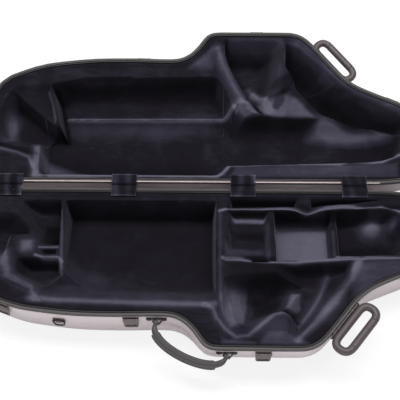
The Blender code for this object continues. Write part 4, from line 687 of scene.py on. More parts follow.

# %% [markdown]
# What lies where in the linings
#
# These tables are read off the photo. In the base the neck of the instrument lies in the wide trough,
# keys and rods in the slots, and the bell in the deep recess. The lid's pockets face them, so that the
# instrument is held on both sides when the case is shut. Each table's last four entries set the plush's
# colour: a base tone, then patches, ovals and lines that paint sheen and highlights on crests and lips
# where they are positive, and shade in hollows and folds where they are negative.

# %% Lining tables
BASE_LANDSCAPE = {
    "seams": (-373, 17),
    "pockets": [
        (94, [(-386, 30, 8), (14, 30, 8), (16, 338, 95), (-130, 337, 95), (-330, 332, 60),
              (-369, 250, 7), (-373, 190, 7)]),
        (78, [(-412, 232, 50), (-270, 232, 60), (-270, 334, 90), (-432, 318, 50)]),
        (62, [(-497, 27, 12), (-388, 27, 8), (-380, 171, 8), (-434, 171, 36), (-497, 56, 14)]),
        (26, [(-434, 174, 8), (-383, 174, 8), (-383, 199, 9), (-430, 199, 8)]),
        (58, [(-490, 202, 10), (-379, 200, 8), (-362, 262, 34), (-402, 304, 44),
              (-444, 290, 34), (-494, 254, 26)]),
        (66, [(-592, 100, 30), (-560, 66, 30), (-505, 62, 35), (-458, 116, 10), (-455, 142, 12),
              (-592, 142, 30)]),
        (66, [(-592, 100, 30), (-560, 70, 30), (-520, 66, 30), (-498, 120, 30), (-502, 205, 50),
              (-515, 248, 90), (-560, 262, 90), (-592, 210, 40)]),
        (45, [(45, 19, 6), (228, 19, 8), (224, 47, 7), (45, 51, 8)]),
        (45, [(255, 20, 6), (480, 22, 8), (492, 40, 7), (330, 44, 7), (252, 54, 7)]),
        (34, [(42, 55, 10), (150, 53, 10), (150, 198, 30), (38, 195, 14)]),
        (56, [(36, 84, 40), (148, 84, 10), (150, 200, 60), (36, 197, 20)]),
        (94, [(157, 55, 12), (318, 52, 8), (316, 197, 8), (160, 206, 10)]),
        (75, [(315, 50, 14), (480, 55, 30), (500, 110, 25), (480, 190, 16), (315, 195, 12)]),
        (48, [(240, 54, 12), (420, 52, 1), (420, 192, 14), (240, 198, 1)]),
        (97, [(26, 210, 46), (150, 218, 46), (215, 216, 46), (292, 204, 40), (225, 338, 70),
              (85, 416, 90), (42, 416, 60), (12, 372, 26)]),
        (58, [(150, 212, 18), (352, 198, 12), (346, 262, 38), (205, 424, 40), (150, 400, 60)]),
    ],
    "pads": [
        (8, (-467, 168), (36, 34), 0), (36, (420, 86), (52, 36), 0), (46, (50, 325), (44, 80), 0),
        (34, (198, 300), (26, 48), 8), (36, (160, 376), (44, 34), 0), (-24, (250, 52), (34, 13), 0),
        (5, (-460, 320), (40, 16), 12), (6, (340, 47), (40, 9), 0),
    ],
    "ridges": [(5, 5, [(45, 300), (62, 392)]), (4, 4, [(72, 292), (88, 376)]),
               (6, 6, [(292, 232), (266, 290), (238, 338), (214, 372)]),
               (5, 5, [(-520, 183), (-500, 255), (-440, 286), (-425, 313)]),
               (4, 6, [(369, 202), (343, 259), (298, 327), (248, 382), (204, 422)]),
               (4, 5, [(-15, 332), (5, 346), (14, 370), (34, 398), (60, 418), (88, 414), (150, 359)]),
               (3, 4, [(-420, 300), (-404, 322)]), (3, 4, [(-436, 306), (-418, 326)])],
    "grooves": [(13, 4, [(172, 341), (200, 350), (213, 370), (207, 390)]),
                (9, 6, [(45, 50), (235, 50), (490, 48)]), (10, 7, [(38, 205), (300, 200), (480, 192)]),
                (8, 4, [(104, 206), (142, 207)]), (7, 5, [(-505, 270), (-448, 297)]),
                (5, 4, [(186, 372), (187, 404), (200, 417)]), (4, 4, [(-428, 296), (-412, 326)]),
                (6, 6, [(-30, 344), (4, 350), (16, 384), (42, 420)])],
    # The plush's colour: a base tone, patches of painted sheen and shade, ovals of painted highlight, and
    # lines of painted highlight on crests and lips and of painted shade in folds.
    "tone_and_painted_light": 0.34,
    "painted_light_and_shade": [
        (0.75, [(160, 60, 8), (312, 60, 8), (312, 206, 6), (160, 212, 6)]),
        (0.20, [(-432, 262, 50), (12, 266, 40), (12, 346, 10), (-432, 334, 10)]),
        (-0.30, [(-437, 74, 10), (-384, 74, 6), (-382, 160, 6), (-434, 160, 6)]),
        (0.36, [(-492, 150, 14), (-440, 146, 14), (-438, 196, 16), (-488, 202, 18)]),
        (-0.06, [(-362, 36, 20), (8, 36, 20), (8, 240, 60), (-362, 240, 60)]),
        (0.60, [(48, 66, 6), (146, 66, 6), (146, 90, 6), (48, 90, 6)]),
        (0.22, [(30, 156, 12), (135, 156, 12), (135, 198, 6), (30, 198, 6)]),
        (-0.20, [(322, 125, 12), (470, 125, 14), (470, 196, 6), (322, 196, 6)]),
        (0.35, [(130, 88, 8), (152, 88, 6), (152, 204, 8), (134, 204, 8)]),
        (0.30, [(306, 90, 6), (324, 90, 6), (324, 206, 6), (306, 206, 6)]),
        (0.36, [(22, 262, 14), (97, 262, 8), (97, 300, 8), (84, 385, 12), (40, 408, 14), (14, 350, 14)]),
        (0.45, [(196, 270, 10), (226, 270, 8), (226, 330, 8), (206, 346, 8), (170, 338, 8)]),
        (-0.22, [(100, 276, 10), (186, 276, 10), (166, 345, 10), (100, 345, 10)]),
        (0.20, [(346, 206, 8), (374, 203, 8), (302, 326, 8), (212, 424, 8), (200, 412, 8), (262, 330, 8)]),
        (0.30, [(20, 414, 8), (110, 424, 8), (110, 442, 8), (20, 442, 8)]),
        (0.26, [(110, 424, 8), (152, 366, 10), (196, 398, 10), (250, 400, 10), (240, 442, 8), (110, 442, 8)]),
        (0.30, [(342, 200, 14), (500, 190, 20), (500, 260, 20), (330, 340, 20)]),
        (-0.16, [(30, 212, 10), (290, 206, 10), (262, 262, 16), (40, 266, 16)]),
    ],
    "painted_highlight_ovals": [(0.20, (-466, 172), (36, 32), 0), (0.20, (-320, 240), (80, 64), 0),
               (0.75, (414, 94), (34, 26), 0), (0.4, (470, 84), (12, 14), 0),
               (0.2, (58, 330), (46, 76), 0), (0.2, (198, 300), (26, 44), 8),
               (0.25, (150, 388), (70, 40), 0), (0.3, (-535, 215), (40, 50), 0),
               (0.25, (270, 330), (40, 60), 38)],
    "painted_light_and_shade_lines": [(0.35, 4, [(-390, 60), (-380, 130), (-374, 200), (-370, 246)]),
                (0.2, 5, [(22, 70), (22, 320)]),
                (0.5, 3, [(-432, 176), (-386, 175)]),
                (0.6, 4, [(-440, 198), (-420, 204), (-384, 203), (-372, 216)]),
                (0.36, 9, [(-440, 321), (-200, 329), (10, 332)]),
                (0.9, 4, [(20, 62), (45, 55), (130, 53), (150, 51), (225, 50), (252, 52), (300, 48),
                          (340, 46), (365, 46), (395, 51), (420, 51), (440, 47), (470, 55), (500, 68)]),
                (-0.3, 5, [(45, 64), (130, 62), (225, 59)]), (-0.3, 5, [(302, 58), (365, 55), (398, 60)]),
                (0.8, 5, [(30, 201), (75, 202), (92, 207), (140, 211), (190, 212), (212, 211), (260, 204),
                          (300, 200), (345, 195), (375, 198), (388, 194), (470, 193)]),
                (-0.6, 3, [(106, 204), (136, 205)]),
                (-0.5, 3, [(152, 204), (168, 207), (196, 207), (212, 205)]),
                (0.4, 9, [(369, 202), (343, 259), (298, 327), (248, 382), (204, 422)]),
                (0.35, 8, [(292, 232), (266, 290), (238, 338), (214, 372)]),
                (0.4, 6, [(-15, 332), (5, 346), (14, 370), (34, 398), (60, 418), (88, 414), (150, 359),
                          (190, 348)]),
                (0.4, 12, [(-520, 190), (-500, 258), (-440, 290), (-425, 318)])],
}
LID_LANDSCAPE = {
    "seams": (-460, 32),
    "pockets": [
        (99, [(-370, 19, 10), (14, 19, 10), (40, 48, 1), (96, 120, 1), (68, 205, 20), (14, 326, 34),
              (-150, 323, 34), (-370, 315, 60)]),
        (99, [(-462, 19, 10), (-200, 19, 60), (-200, 178, 22), (-418, 178, 8), (-462, 146, 9)]),
        (99, [(-392, 50, 60), (-200, 50, 60), (-200, 320, 26), (-380, 314, 26), (-450, 292, 8)]),
        (100, [(12, 46, 12), (440, 60, 14), (498, 78, 20), (516, 140, 80), (440, 240, 64),
               (72, 240, 1), (0, 60, 1)]),
        (90, [(-580, 118, 32), (-468, 99, 20), (-370, 99, 1), (-370, 134, 22), (-548, 285, 30),
              (-582, 240, 30)]),
        (36, [(-560, 140, 20), (-400, 140, 20), (-430, 262, 8), (-452, 300, 26), (-560, 290, 26)]),
        (106, [(22, 432, 16), (24, 398, 18), (60, 297, 20), (102, 236, 20), (150, 212, 60),
               (194, 310, 50), (206, 432, 34)]),
        (46, [(60, 170, 20), (300, 150, 30), (500, 110, 20), (520, 160, 20), (330, 300, 20),
              (225, 340, 30), (150, 310, 40), (90, 246, 30)]),
        (95, [(200, 424, 10), (195, 350, 12), (236, 288, 12), (262, 256, 26), (372, 296, 50),
              (302, 368, 50), (246, 426, 34)]),
        (95, [(210, 320, 12), (224, 296, 12), (296, 212, 12), (340, 194, 14), (388, 181, 26),
              (448, 247, 50), (372, 296, 50), (302, 368, 26)]),
        (95, [(312, 206, 12), (334, 196, 12), (500, 150, 14), (535, 170, 30), (520, 225, 50),
              (440, 256, 50), (374, 290, 26)]),
    ],
    "pads": [(12, (185, 350), (30, 90), 0)],
    "ridges": [(20, 8, [(-404, 215), (62, 218)]), (12, 7, [(-426, 180), (-434, 225), (-450, 270)]),
               (9, 6, [(-580, 97), (-520, 82), (-490, 68), (-478, 45), (-474, 15)]),
               (8, 5, [(-580, 116), (-530, 104), (-490, 98), (-466, 95), (-462, 15)]),
               (10, 8, [(14, 400), (30, 345), (62, 275), (92, 222), (150, 208)]),
               (6, 6, [(216, 290), (205, 215)]), (8, 8, [(158, 232), (130, 270), (104, 318)]),
               (3, 4, [(-430, 15), (14, 16), (40, 45), (200, 53), (340, 56), (366, 62), (430, 58),
                       (455, 61), (472, 73), (495, 80)])],
    "grooves": [(8, 6, [(-572, 106), (-500, 84), (-472, 80)]), (9, 5, [(96, 246), (142, 214)]),
                (8, 5, [(168, 268), (214, 294)])],
    # The plush's colour: a base tone, patches of painted sheen and shade, ovals of painted highlight, and
    # lines of painted highlight on crests and lips and of painted shade in folds.
    "tone_and_painted_light": 0.34,
    "painted_light_and_shade": [
        (-0.20, [(-455, 30, 20), (10, 30, 20), (30, 90, 60), (-455, 120, 60)]),
        (0.27, [(40, 10, 10), (500, 14, 10), (500, 66, 8), (60, 53, 6)]),
        (0.50, [(-460, 40, 6), (-290, 40, 20), (-420, 92, 20), (-460, 100, 4)]),
        (-0.30, [(-416, 140, 4), (-388, 140, 6), (-422, 290, 6), (-450, 290, 4)]),
        (0.40, [(98, 300, 8), (138, 238, 8), (176, 238, 10), (120, 326, 10)]),
        (0.66, [(226, 150, 30), (500, 120, 40), (500, 165, 20), (290, 218, 34)]),
        (0.42, [(78, 206, 10), (300, 204, 10), (238, 280, 14), (180, 300, 30), (90, 250, 12)]),
        (-0.25, [(200, 420, 10), (200, 340, 12), (240, 282, 12), (325, 340, 50), (292, 392, 50),
                 (248, 428, 34)]),
        (-0.25, [(230, 290, 12), (300, 214, 12), (510, 158, 10), (535, 170, 30), (520, 225, 50),
                 (372, 296, 50), (318, 352, 10)]),
        (0.30, [(-90, 330, 20), (10, 330, 16), (10, 430, 10), (-40, 380, 10)]),
        (-0.28, [(66, 176, 14), (230, 170, 14), (304, 200, 8), (296, 212, 6), (90, 214, 6)]),
        (-0.30, [(160, 234, 8), (184, 226, 8), (208, 258, 8), (206, 304, 10), (172, 286, 8)]),
        (0.28, [(40, 396, 12), (206, 396, 12), (206, 438, 6), (40, 438, 6)]),
        (-0.20, [(-400, 276, 14), (14, 284, 14), (14, 318, 6), (-440, 300, 6)]),
        (-0.28, [(-400, 134, 10), (-410, 164, 10), (-545, 280, 8), (-540, 240, 14)]),
    ],
    "painted_highlight_ovals": [(0.22, (-200, 190), (260, 34), 0), (0.7, (-556, 176), (15, 58), 0),
               (0.5, (322, 192), (44, 22), -14),
               (0.5, (84, 224), (44, 18), 0),
               (0.15, (-20, 232), (60, 22), 0), (0.2, (180, 330), (26, 90), 0)],
    "painted_light_and_shade_lines": [(0.95, 6, [(-404, 216), (62, 219)]), (0.5, 12, [(-460, 20), (-400, 22), (-330, 20)]),
                (0.55, 13, [(-470, 14), (-468, 94)]),
                (0.45, 14, [(14, 400), (30, 345), (62, 275), (92, 222)]),
                (0.4, 6, [(-580, 98), (-520, 84), (-490, 70), (-478, 45)]),
                (0.4, 5, [(-428, 182), (-436, 225), (-452, 268)]),
                (0.75, 4.5, [(-430, 17), (14, 18), (28, 27), (48, 51), (200, 57), (340, 58), (366, 65),
                             (430, 62), (455, 64), (474, 74), (500, 84)]),
                (-0.5, 4, [(96, 258), (142, 214)]), (0.35, 10, [(158, 232), (130, 270), (104, 318)]),
                (0.34, 26, [(238, 412), (300, 352), (380, 292), (480, 238), (540, 220)])],
}
print("pockets", len(BASE_LANDSCAPE["pockets"]), len(LID_LANDSCAPE["pockets"]))

# %% [markdown]
# Lining meshes
#
# Each block is a grid of points about two millimetres apart between the hinge edge and the latch edge,
# denser where the outline curves round its ends. Its top has the landscape's height, with the plush
# rolled over at the edge, and its underside follows the inside of the shell.

# %% Lining surfaces
LINING_DROP = 1.5
NECK = TRIM_WIDTH + 0.0003
SPACING = 2.0
END_REACH = 40.0
END_ROWS = 40
COLUMNS = 200
MIN_FOAM = 5.0
SEAM_GAP = 0.3
SEAM_SHIFT = 5.5
FLANGE, FLANGE_EASE = 2, 14
WAVE_EASE = 12
ROLL_DROP, ROLL_WIDTH = 3.5, 7
UNDER_GAP = 1.6


def lining_span():
    """Functions for the lining's edge nearest the hinges and nearest the latches, at any X."""
    edge = (RIM + RIM_IN * NECK) / MM
    edge[:, 1] = HINGE_EDGE_Y / MM - edge[:, 1]
    edge = np.roll(edge, -int(edge[:, 0].argmin()), 0)
    far = int(edge[:, 0].argmax())
    latch, hinge = edge[:far + 1], edge[far:][::-1]
    hinge = np.vstack([edge[:1], hinge])
    return (edge[0, 0], edge[far, 0], lambda x: np.interp(x, hinge[:, 0], hinge[:, 1]),
            lambda x: np.interp(x, latch[:, 0], latch[:, 1]))


SPAN = lining_span()


def block_rows(start, end, round_start, round_end):
    """X of a block's rows: even, and closing up quadratically at a rounded end."""
    first = start + END_REACH if round_start else start
    last = end - END_REACH if round_end else end
    rows = [np.linspace(first, last, int((last - first) / SPACING) + 1)]
    if round_start:
        rows.insert(0, start + END_REACH * (np.arange(END_ROWS) / END_ROWS) ** 2)
    if round_end:
        rows.append(end - END_REACH * (1 - np.arange(1, END_ROWS + 1) / END_ROWS) ** 2)
    return np.concatenate(rows)


def rim_distance(x, w):
    """How far each point is from the rim outline, and how far the back is drawn in there. The nearest
    corner of the outline is found first, and then the nearest place on the two stretches beside it."""
    rim = np.column_stack([RIM[:, 0], HINGE_EDGE_Y - RIM[:, 1]]) / MM
    drawn = np.linalg.norm(RIM - BACK, axis=1) / MM
    points = np.column_stack([x.ravel(), w.ravel()])
    nearest = np.concatenate([np.hypot(*(part[:, None] - rim[None]).transpose(2, 0, 1)).argmin(1)
                              for part in np.array_split(points, 60)])
    distance, inset = np.full(len(points), 1e9), np.zeros(len(points))
    for step in (-1, 1):
        other = (nearest + step) % len(rim)
        run = rim[other] - rim[nearest]
        off = points - rim[nearest]
        t = np.clip(np.sum(off * run, 1) / np.maximum(np.sum(run * run, 1), 1e-9), 0, 1)
        away = np.linalg.norm(off - run * t[:, None], axis=1)
        inset = np.where(away < distance, drawn[nearest] + (drawn[other] - drawn[nearest]) * t, inset)
        distance = np.minimum(distance, away)
    return distance.reshape(x.shape), inset.reshape(x.shape)


def under_depth(distance, inset, depth):
    """Depth of the shell's inner face under a point, from its distance to the rim."""
    body = (SHELL_INSET + SHELL_WALL) / MM + UNDER_GAP
    share = np.clip((distance - body) / inset, 0, 1)
    angle = np.arccos(np.clip(1 - share, 0, 1) ** (1 / WALL_CURVE))
    top = TRIM_HEIGHT / MM
    return top + (depth / MM - (body - SHELL_INSET / MM) - top) * np.sin(angle) ** WALL_CURVE


def skirt_faces(rows, columns):
    """Quads between the edges of two stacked grids."""
    grid = np.arange(rows * columns).reshape(rows, columns)
    border = np.concatenate([grid[0, :-1], grid[:-1, -1], grid[-1, :0:-1], grid[:0:-1, 0]])
    after = np.roll(border, -1)
    return np.stack([border, after, after + grid.size, border + grid.size], -1)


def store_tone_and_painted_light(piece, tone_and_painted_light):
    """Store the tone with its painted sheen and shade on both faces of a plush piece."""
    value = np.tile(tone_and_painted_light.ravel(), 2).astype(np.float32)
    piece.data.attributes.new("tone_and_painted_light", "FLOAT", "POINT").data.foreach_set("value", value)


def add_lining(half, name, start, end, table, seed):
    """One block: top, edge skirt and underside as a single closed mesh."""
    place, side, depth = HALVES[half]
    low, high, hinge_side, latch_side = SPAN
    x = block_rows(max(start, low), min(end, high), start < low, end > high)
    v = np.linspace(0, 1, COLUMNS + 1)
    w_low, w_high = hinge_side(x), latch_side(x)
    w = w_low[:, None] + (w_high - w_low)[:, None] * v[None, :]
    x = np.broadcast_to(x[:, None], w.shape).copy()
    distance, inset = rim_distance(x, w)
    inner = distance - NECK / MM
    top = LINING_DROP + landscape(x, w, table) * smoothstep((inner - FLANGE) / FLANGE_EASE)
    top = top + fabric_waves(x, w, seed) * smoothstep(inner / WAVE_EASE)
    edge = np.minimum(inner, 99)
    for seam in (start, end):
        edge = np.minimum(edge, np.abs(x - seam) + SEAM_SHIFT if low < seam < high else edge)
    top = top + ROLL_DROP * (1 - np.clip(edge / ROLL_WIDTH, 0, 1)) ** 2
    under = under_depth(distance, inset, depth)
    top = np.maximum(np.minimum(top, under - MIN_FOAM), LINING_DROP)
    count = top.shape[0] * top.shape[1]
    y = HINGE_EDGE_Y - w * MM
    upper = np.stack([x * MM, y, side * top * MM], -1).reshape(-1, 3)
    lower = np.stack([x * MM, y, side * under * MM], -1).reshape(-1, 3)
    faces = grid_faces(*top.shape)
    if side < 0:
        faces = faces[:, ::-1]
    skirt = skirt_faces(*top.shape)
    faces = np.vstack([faces, faces[:, ::-1] + count, skirt if side > 0 else skirt[:, ::-1]])
    points = place(np.vstack([upper, lower]))
    block = add_mesh(name, points, faces.tolist(), plush, uv=points[:, :2], smooth_degrees=60)
    store_tone_and_painted_light(block, paint_tone_and_light(x, w, table))
    flip_if_inside_out(block)
    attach(block, half)
    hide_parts(name.replace("_plush", ""))
    return block


linings = []
for half, table in (("base", BASE_LANDSCAPE), ("lid", LID_LANDSCAPE)):
    cuts = (-9999, *table["seams"], 9999)
    for number, part in enumerate(("crook_end", "trough", "bell_end")):
        linings.append(add_lining(half, f"{half}_lining_{part}_plush", cuts[number] + SEAM_GAP,
                                  cuts[number + 1] - SEAM_GAP, table, 7 + (half == "lid")))
print("linings", [len(b.data.polygons) for b in linings])

# %% [markdown]
# Helpers for metal and moulded pieces
#
# Stamped and moulded pieces are never sharp: a press or a mould leaves a small radius along every
# edge. A plate here is a flat outline carried through a row of insets that round both faces over, and
# a bar is a side view carried along the wall. A seat places local points on a half: X along the wall,
# Y inwards and Z up.

# %% Hardware helpers

def seat(half, x, y, degrees, z=0.0):
    """A function that turns local points to the wall's direction and places them on a half."""
    c, s = math.cos(math.radians(degrees)), math.sin(math.radians(degrees))

    def put(points):
        p = np.asarray(points, float)
        flat = [x + p[..., 0] * c - p[..., 1] * s, y + p[..., 0] * s + p[..., 1] * c, z + p[..., 2]]
        return HALVES[half][0](np.stack(flat, -1))
    return put


def loft(rings, closed=False):
    """Points and faces of rings joined in order; open ends are closed by a fan to their middle."""
    rings = np.asarray(rings, float)
    rows, columns = rings.shape[:2]
    faces = grid_faces(rows, columns, wrap_rows=closed, wrap_columns=True).tolist()
    points = rings.reshape(-1, 3)
    if closed:
        return points, faces
    count = len(points)
    points = np.vstack([points, rings[0].mean(0), rings[-1].mean(0)])
    for k in range(columns):
        after = (k + 1) % columns
        faces.append([count, after, k])
        faces.append([count + 1, (rows - 1) * columns + k, (rows - 1) * columns + after])
    return points, faces


def rounded_outline(corners, radius, steps=6):
    """A closed outline with each corner replaced by a curve of about the radius."""
    corners = np.array(corners, float)
    points = []
    for before, corner, after in zip(np.roll(corners, 1, 0), corners, np.roll(corners, -1, 0)):
        to_before, to_after = before - corner, after - corner
        reach = [min(radius, np.linalg.norm(v) * 0.499) / np.linalg.norm(v) for v in (to_before, to_after)]
        for t in np.linspace(0, 1, steps + 1):
            points.append(corner + to_before * reach[0] * (1 - t) ** 2 + to_after * reach[1] * t ** 2)
    return np.array(points)


def rounded_box(half, low, high, radius, steps=6, middle=0.0):
    """A rounded rectangle in X and Z about a middle."""
    left, right = middle - half, middle + half
    return rounded_outline([(left, low), (right, low), (right, high), (left, high)], radius, steps)


def plate(outline, back, front, bevel=0.0006, steps=4):
    """A plate between two Y values with rolled edges; its outline is in X and Z."""
    turn = np.sum(outline[:, 0] * np.roll(outline[:, 1], -1) - outline[:, 1] * np.roll(outline[:, 0], -1))
    normal = side_normals(outline, closed=True) * np.sign(turn)
    rings = []
    sign = math.copysign(1, back - front)
    for start, way in ((back, -sign), (front, sign)):
        part = []
        for angle in np.linspace(0, math.pi / 2, steps + 1):
            moved = outline + normal * bevel * (1 - math.sin(angle))
            y = start + way * bevel * (1 - math.cos(angle))
            part.append(np.stack([moved[:, 0], np.full(len(moved), y), moved[:, 1]], 1))
        rings.append(part)
    return loft(rings[0] + rings[1][::-1])


def bar(side_view, start, end, bevel=0.0004):
    """A side view in Y and Z carried along X, with its ends drawn in a little."""
    side_view = np.array(side_view, float)
    middle = side_view.mean(0)
    rings = []
    for x, draw in ((start, bevel), (start + bevel, 0), (end - bevel, 0), (end, bevel)):
        size = np.linalg.norm(side_view - middle, axis=1, keepdims=True)
        moved = middle + (side_view - middle) * (1 - draw / np.maximum(size, 1e-6))
        rings.append(np.column_stack([np.full(len(moved), x), moved]))
    return loft(rings)


def head(x, y, z, radius, height, slot=0.0):
    """A domed fastener head looking along -Y; a slot width above zero cuts a cross in it."""
    rows, columns = 14, 40
    r = np.linspace(1, 0.04, rows)[:, None]
    a = np.linspace(0, 2 * math.pi, columns, endpoint=False)[None, :]
    u, v = r * np.cos(a), r * np.sin(a)
    rise = height * np.sqrt(np.clip(1 - 0.75 * r ** 2, 0, 1)) + 0 * a
    if slot:
        arm = np.minimum(np.abs(u), np.abs(v)) * radius < slot / 2
        rise = rise - 0.6 * height * (arm & (r < 0.62))
    rings = np.stack([x + u * radius, y - rise, z + v * radius], -1)
    foot = rings[:1] * (1, 0, 1) + np.array([0, y + 0.0003, 0])
    return loft(np.concatenate([foot, rings]))


def heads(half, y, z, radius, height, slot=0.0):
    """Two fastener heads, one on either side."""
    return [head(x, y, z, radius, height, slot) for x in (-half, half)]


def join_parts(name, parts, put, material, smooth_degrees):
    """One mesh from local parts, with its faces outwards and its UV in metres."""
    points, faces = [], []
    for part_points, part_faces in parts:
        start = sum(len(p) for p in points)
        faces += [[corner + start for corner in face] for face in part_faces]
        points.append(put(part_points))
    piece = add_mesh(name, np.vstack(points), faces, material, smooth_degrees=smooth_degrees)
    set_outward(piece)
    add_wrap_uv(piece)
    return piece


def add_piece(name, parts, put, material, body, node, smooth_degrees=35):
    """Join local parts into one mesh on a body, in place of a CAD node."""
    piece = join_parts(name, parts, put, material, smooth_degrees)
    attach(piece, body)
    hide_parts(node)
    return piece


def set_outward(piece):
    """Make the faces of every closed part look outwards."""
    bm = bmesh.new()
    bm.from_mesh(piece.data)
    bmesh.ops.recalc_face_normals(bm, faces=bm.faces)
    bm.to_mesh(piece.data)
    bm.free()


def add_wrap_uv(piece):
    """UV in metres: each face is laid flat along the axis that it faces most."""
    mesh = piece.data
    layer = mesh.uv_layers.new(name="UVMap")
    for face in mesh.polygons:
        drop = max(range(3), key=lambda k: abs(face.normal[k]))
        keep = [k for k in range(3) if k != drop]
        for loop in face.loop_indices:
            place = mesh.vertices[mesh.loops[loop].vertex_index].co
            layer.data[loop].uv = (place[keep[0]], place[keep[1]])


print("helpers ready")

# %% [markdown]
# Latches
#
# Each latch is a riveted plate with two knuckles, a pinned flap and a catch on the lid. The flap is
# stamped from thick sheet, so its face is slightly crowned and its free end curls out for a finger.
# The tooth on its outer face swings up and hooks over the catch, which pulls the rims together.

# %% Latches
LATCHES = [(-0.50386, -0.10828, -20.597), (-0.19105, -0.14051, 1.142), (0.12346, -0.22500, 0.0),
           (0.48995, -0.01832, 23.165)]
LATCH_AXIS = (-0.0062, -0.0145)
LATCH_HALF = 0.019
PLATE_FACE = -0.0021
BARREL = 0.0028
RIVET = (0.0022, 0.0009)


def circle_view(centre, radius, count=28):
    """A circle in Y and Z."""
    return [(centre[0] + radius * math.cos(a), centre[1] + radius * math.sin(a))
            for a in np.linspace(0, 2 * math.pi, count, endpoint=False)]


def knuckle_view():
    """The curl of the plate round the pin, back to the plate's face."""
    y, z = LATCH_AXIS
    return arc((y, z), BARREL, 60, 300, 16) + [(-0.0012, z - BARREL * 0.75), (-0.0012, z + BARREL * 0.75)]


def latch_plate():
    """The stamped plate, its two knuckles and its rivet heads."""
    parts = [plate(rounded_box(LATCH_HALF, -0.0173, -0.003, 0.0016), -0.0003, PLATE_FACE, 0.0005)]
    for start in (-LATCH_HALF, 0.0115):
        parts.append(bar(knuckle_view(), start, start + 0.0075))
    return parts + heads(0.0146, PLATE_FACE, -0.0056, *RIVET)


def latch_flap():
    """The flap about its pin: a crowned sheet, its barrel, the tooth and the curled finger end."""
    outline = rounded_outline([(-LATCH_HALF, -0.0032), (-0.0175, -0.038), (0.0175, -0.038),
                               (LATCH_HALF, -0.0032)], 0.0055)
    points, faces = plate(outline, 0.0028, 0.0004, 0.0008)
    low = np.clip((-points[:, 2] - 0.030) / 0.008, 0, 1)
    crown = 0.0005 * (1 - (points[:, 0] / LATCH_HALF) ** 2)
    points[:, 1] -= crown * (points[:, 1] < 0.0016) + 0.0011 * low ** 2
    barrel = bar(circle_view((0, 0), BARREL), -0.0111, 0.0111)
    neck = bar([(0.0026, -0.0062), (0.0006, -0.0062), (-0.0012, -0.0010), (0.0026, 0.0)], -0.0110, 0.0110)
    tooth_view = [(0.0010, -0.0312), (-0.0008, -0.0314), (-0.0027, -0.0304),
                  (-0.0026, -0.0293), (0.0010, -0.0290)]
    return [(points, faces), barrel, neck, bar(tooth_view, -0.013, 0.013)]


def latch_catch():
    """The catch on the lid: a riveted plate whose upper edge is bent out into a hook."""
    side_view = [(-0.0003, 0.0022), (-0.0003, 0.0141), (-0.0052, 0.0141), (-0.0056, 0.0137),
                 (-0.0056, 0.0125), (-0.0051, 0.0120), (-0.0028, 0.0108), (PLATE_FACE, 0.0100),
                 (PLATE_FACE, 0.0026), (-0.0017, 0.0022)]
    return [bar(side_view, -0.018, 0.018)] + heads(0.0136, PLATE_FACE, 0.0048, *RIVET)


latch_parts = []
for number, (x, y, turn) in enumerate(LATCHES, start=1):
    on_base = seat("base", x, y, turn)
    axis_x = x - LATCH_AXIS[0] * math.sin(math.radians(turn))
    axis_y = y + LATCH_AXIS[0] * math.cos(math.radians(turn))
    on_axis = seat("base", axis_x, axis_y, turn, LATCH_AXIS[1])
    name = f"latch_{number}"
    latch_parts += [
        add_piece(name + "_plate_stamped", latch_plate(), on_base, latch_coat, "base",
                  name + "_plate"),
        add_piece(name + "_flap", latch_flap(), on_axis, latch_coat, name, name + "_lever"),
        add_piece(name + "_catch", latch_catch(), seat("lid", x, y, turn), latch_coat, "lid",
                  name + "_keeper")]
print("latch pieces", len(latch_parts))

# %% [markdown]
# Bands along a path
#
# Straps, loops and wires are one section carried along a path. The section is a superellipse, so a
# single number makes it round or squarer, and evenly spaced path points keep its rings square.

# %% Bands along a path

def even_path(points, count, closed=False):
    """The same line with evenly spaced points."""
    line = np.array(points, float)
    if closed:
        line = np.vstack([line, line[:1]])
    run = np.concatenate([[0], np.cumsum(np.linalg.norm(np.diff(line, axis=0), axis=1))])
    at = np.linspace(0, run[-1], count, endpoint=not closed)
    return np.column_stack([np.interp(at, run, line[:, k]) for k in range(line.shape[1])])


def band(path, across, up, power=2.0, columns=32, closed=False):
    """A superellipse section carried along a path in the XY plane; across and up are half sizes."""
    normal = side_normals(path, closed)
    angle = np.linspace(0, 2 * math.pi, columns, endpoint=False)
    c, s = np.cos(angle), np.sin(angle)
    u = np.sign(c) * np.abs(c) ** (2 / power)
    v = np.sign(s) * np.abs(s) ** (2 / power)
    across, up = (np.broadcast_to(value, len(path))[:, None] for value in (across, up))
    flat = path[:, None, :] + normal[:, None, :] * (across * u)[..., None]
    return loft(np.concatenate([flat, (up * v)[..., None]], -1), closed)


short_band, _ = band(np.array([(0.0, 0.0), (0.1, 0.0), (0.2, 0.1)]), 0.01, 0.01)
print("a band of 3 rings has", len(short_band), "points")

# %% [markdown]
# Brackets
#
# The carry handle hangs between two brackets. Each is a screwed plate with two ears that hold a pin.
# The ears are square to the line between both pins, and not to the wall, which bends between them.

# %% Brackets and their screws
HANDLE_PIVOTS = ((-0.13017, -0.14823), (0.03794, -0.23287))
BRACKET_SEATS = {"left": (-0.13006, -0.14014, -0.783), "right": (0.03794, -0.22474, -0.470)}
HANDLE_LINE = np.array(HANDLE_PIVOTS[1]) - np.array(HANDLE_PIVOTS[0])
HANDLE_SPAN = float(np.linalg.norm(HANDLE_LINE))
HANDLE_TURN = math.degrees(math.atan2(HANDLE_LINE[1], HANDLE_LINE[0]))
EAR_ROW = -0.02175
WALL_FACE = SHELL_INSET - 0.0003
BRACKET_FACE = WALL_FACE - 0.0024


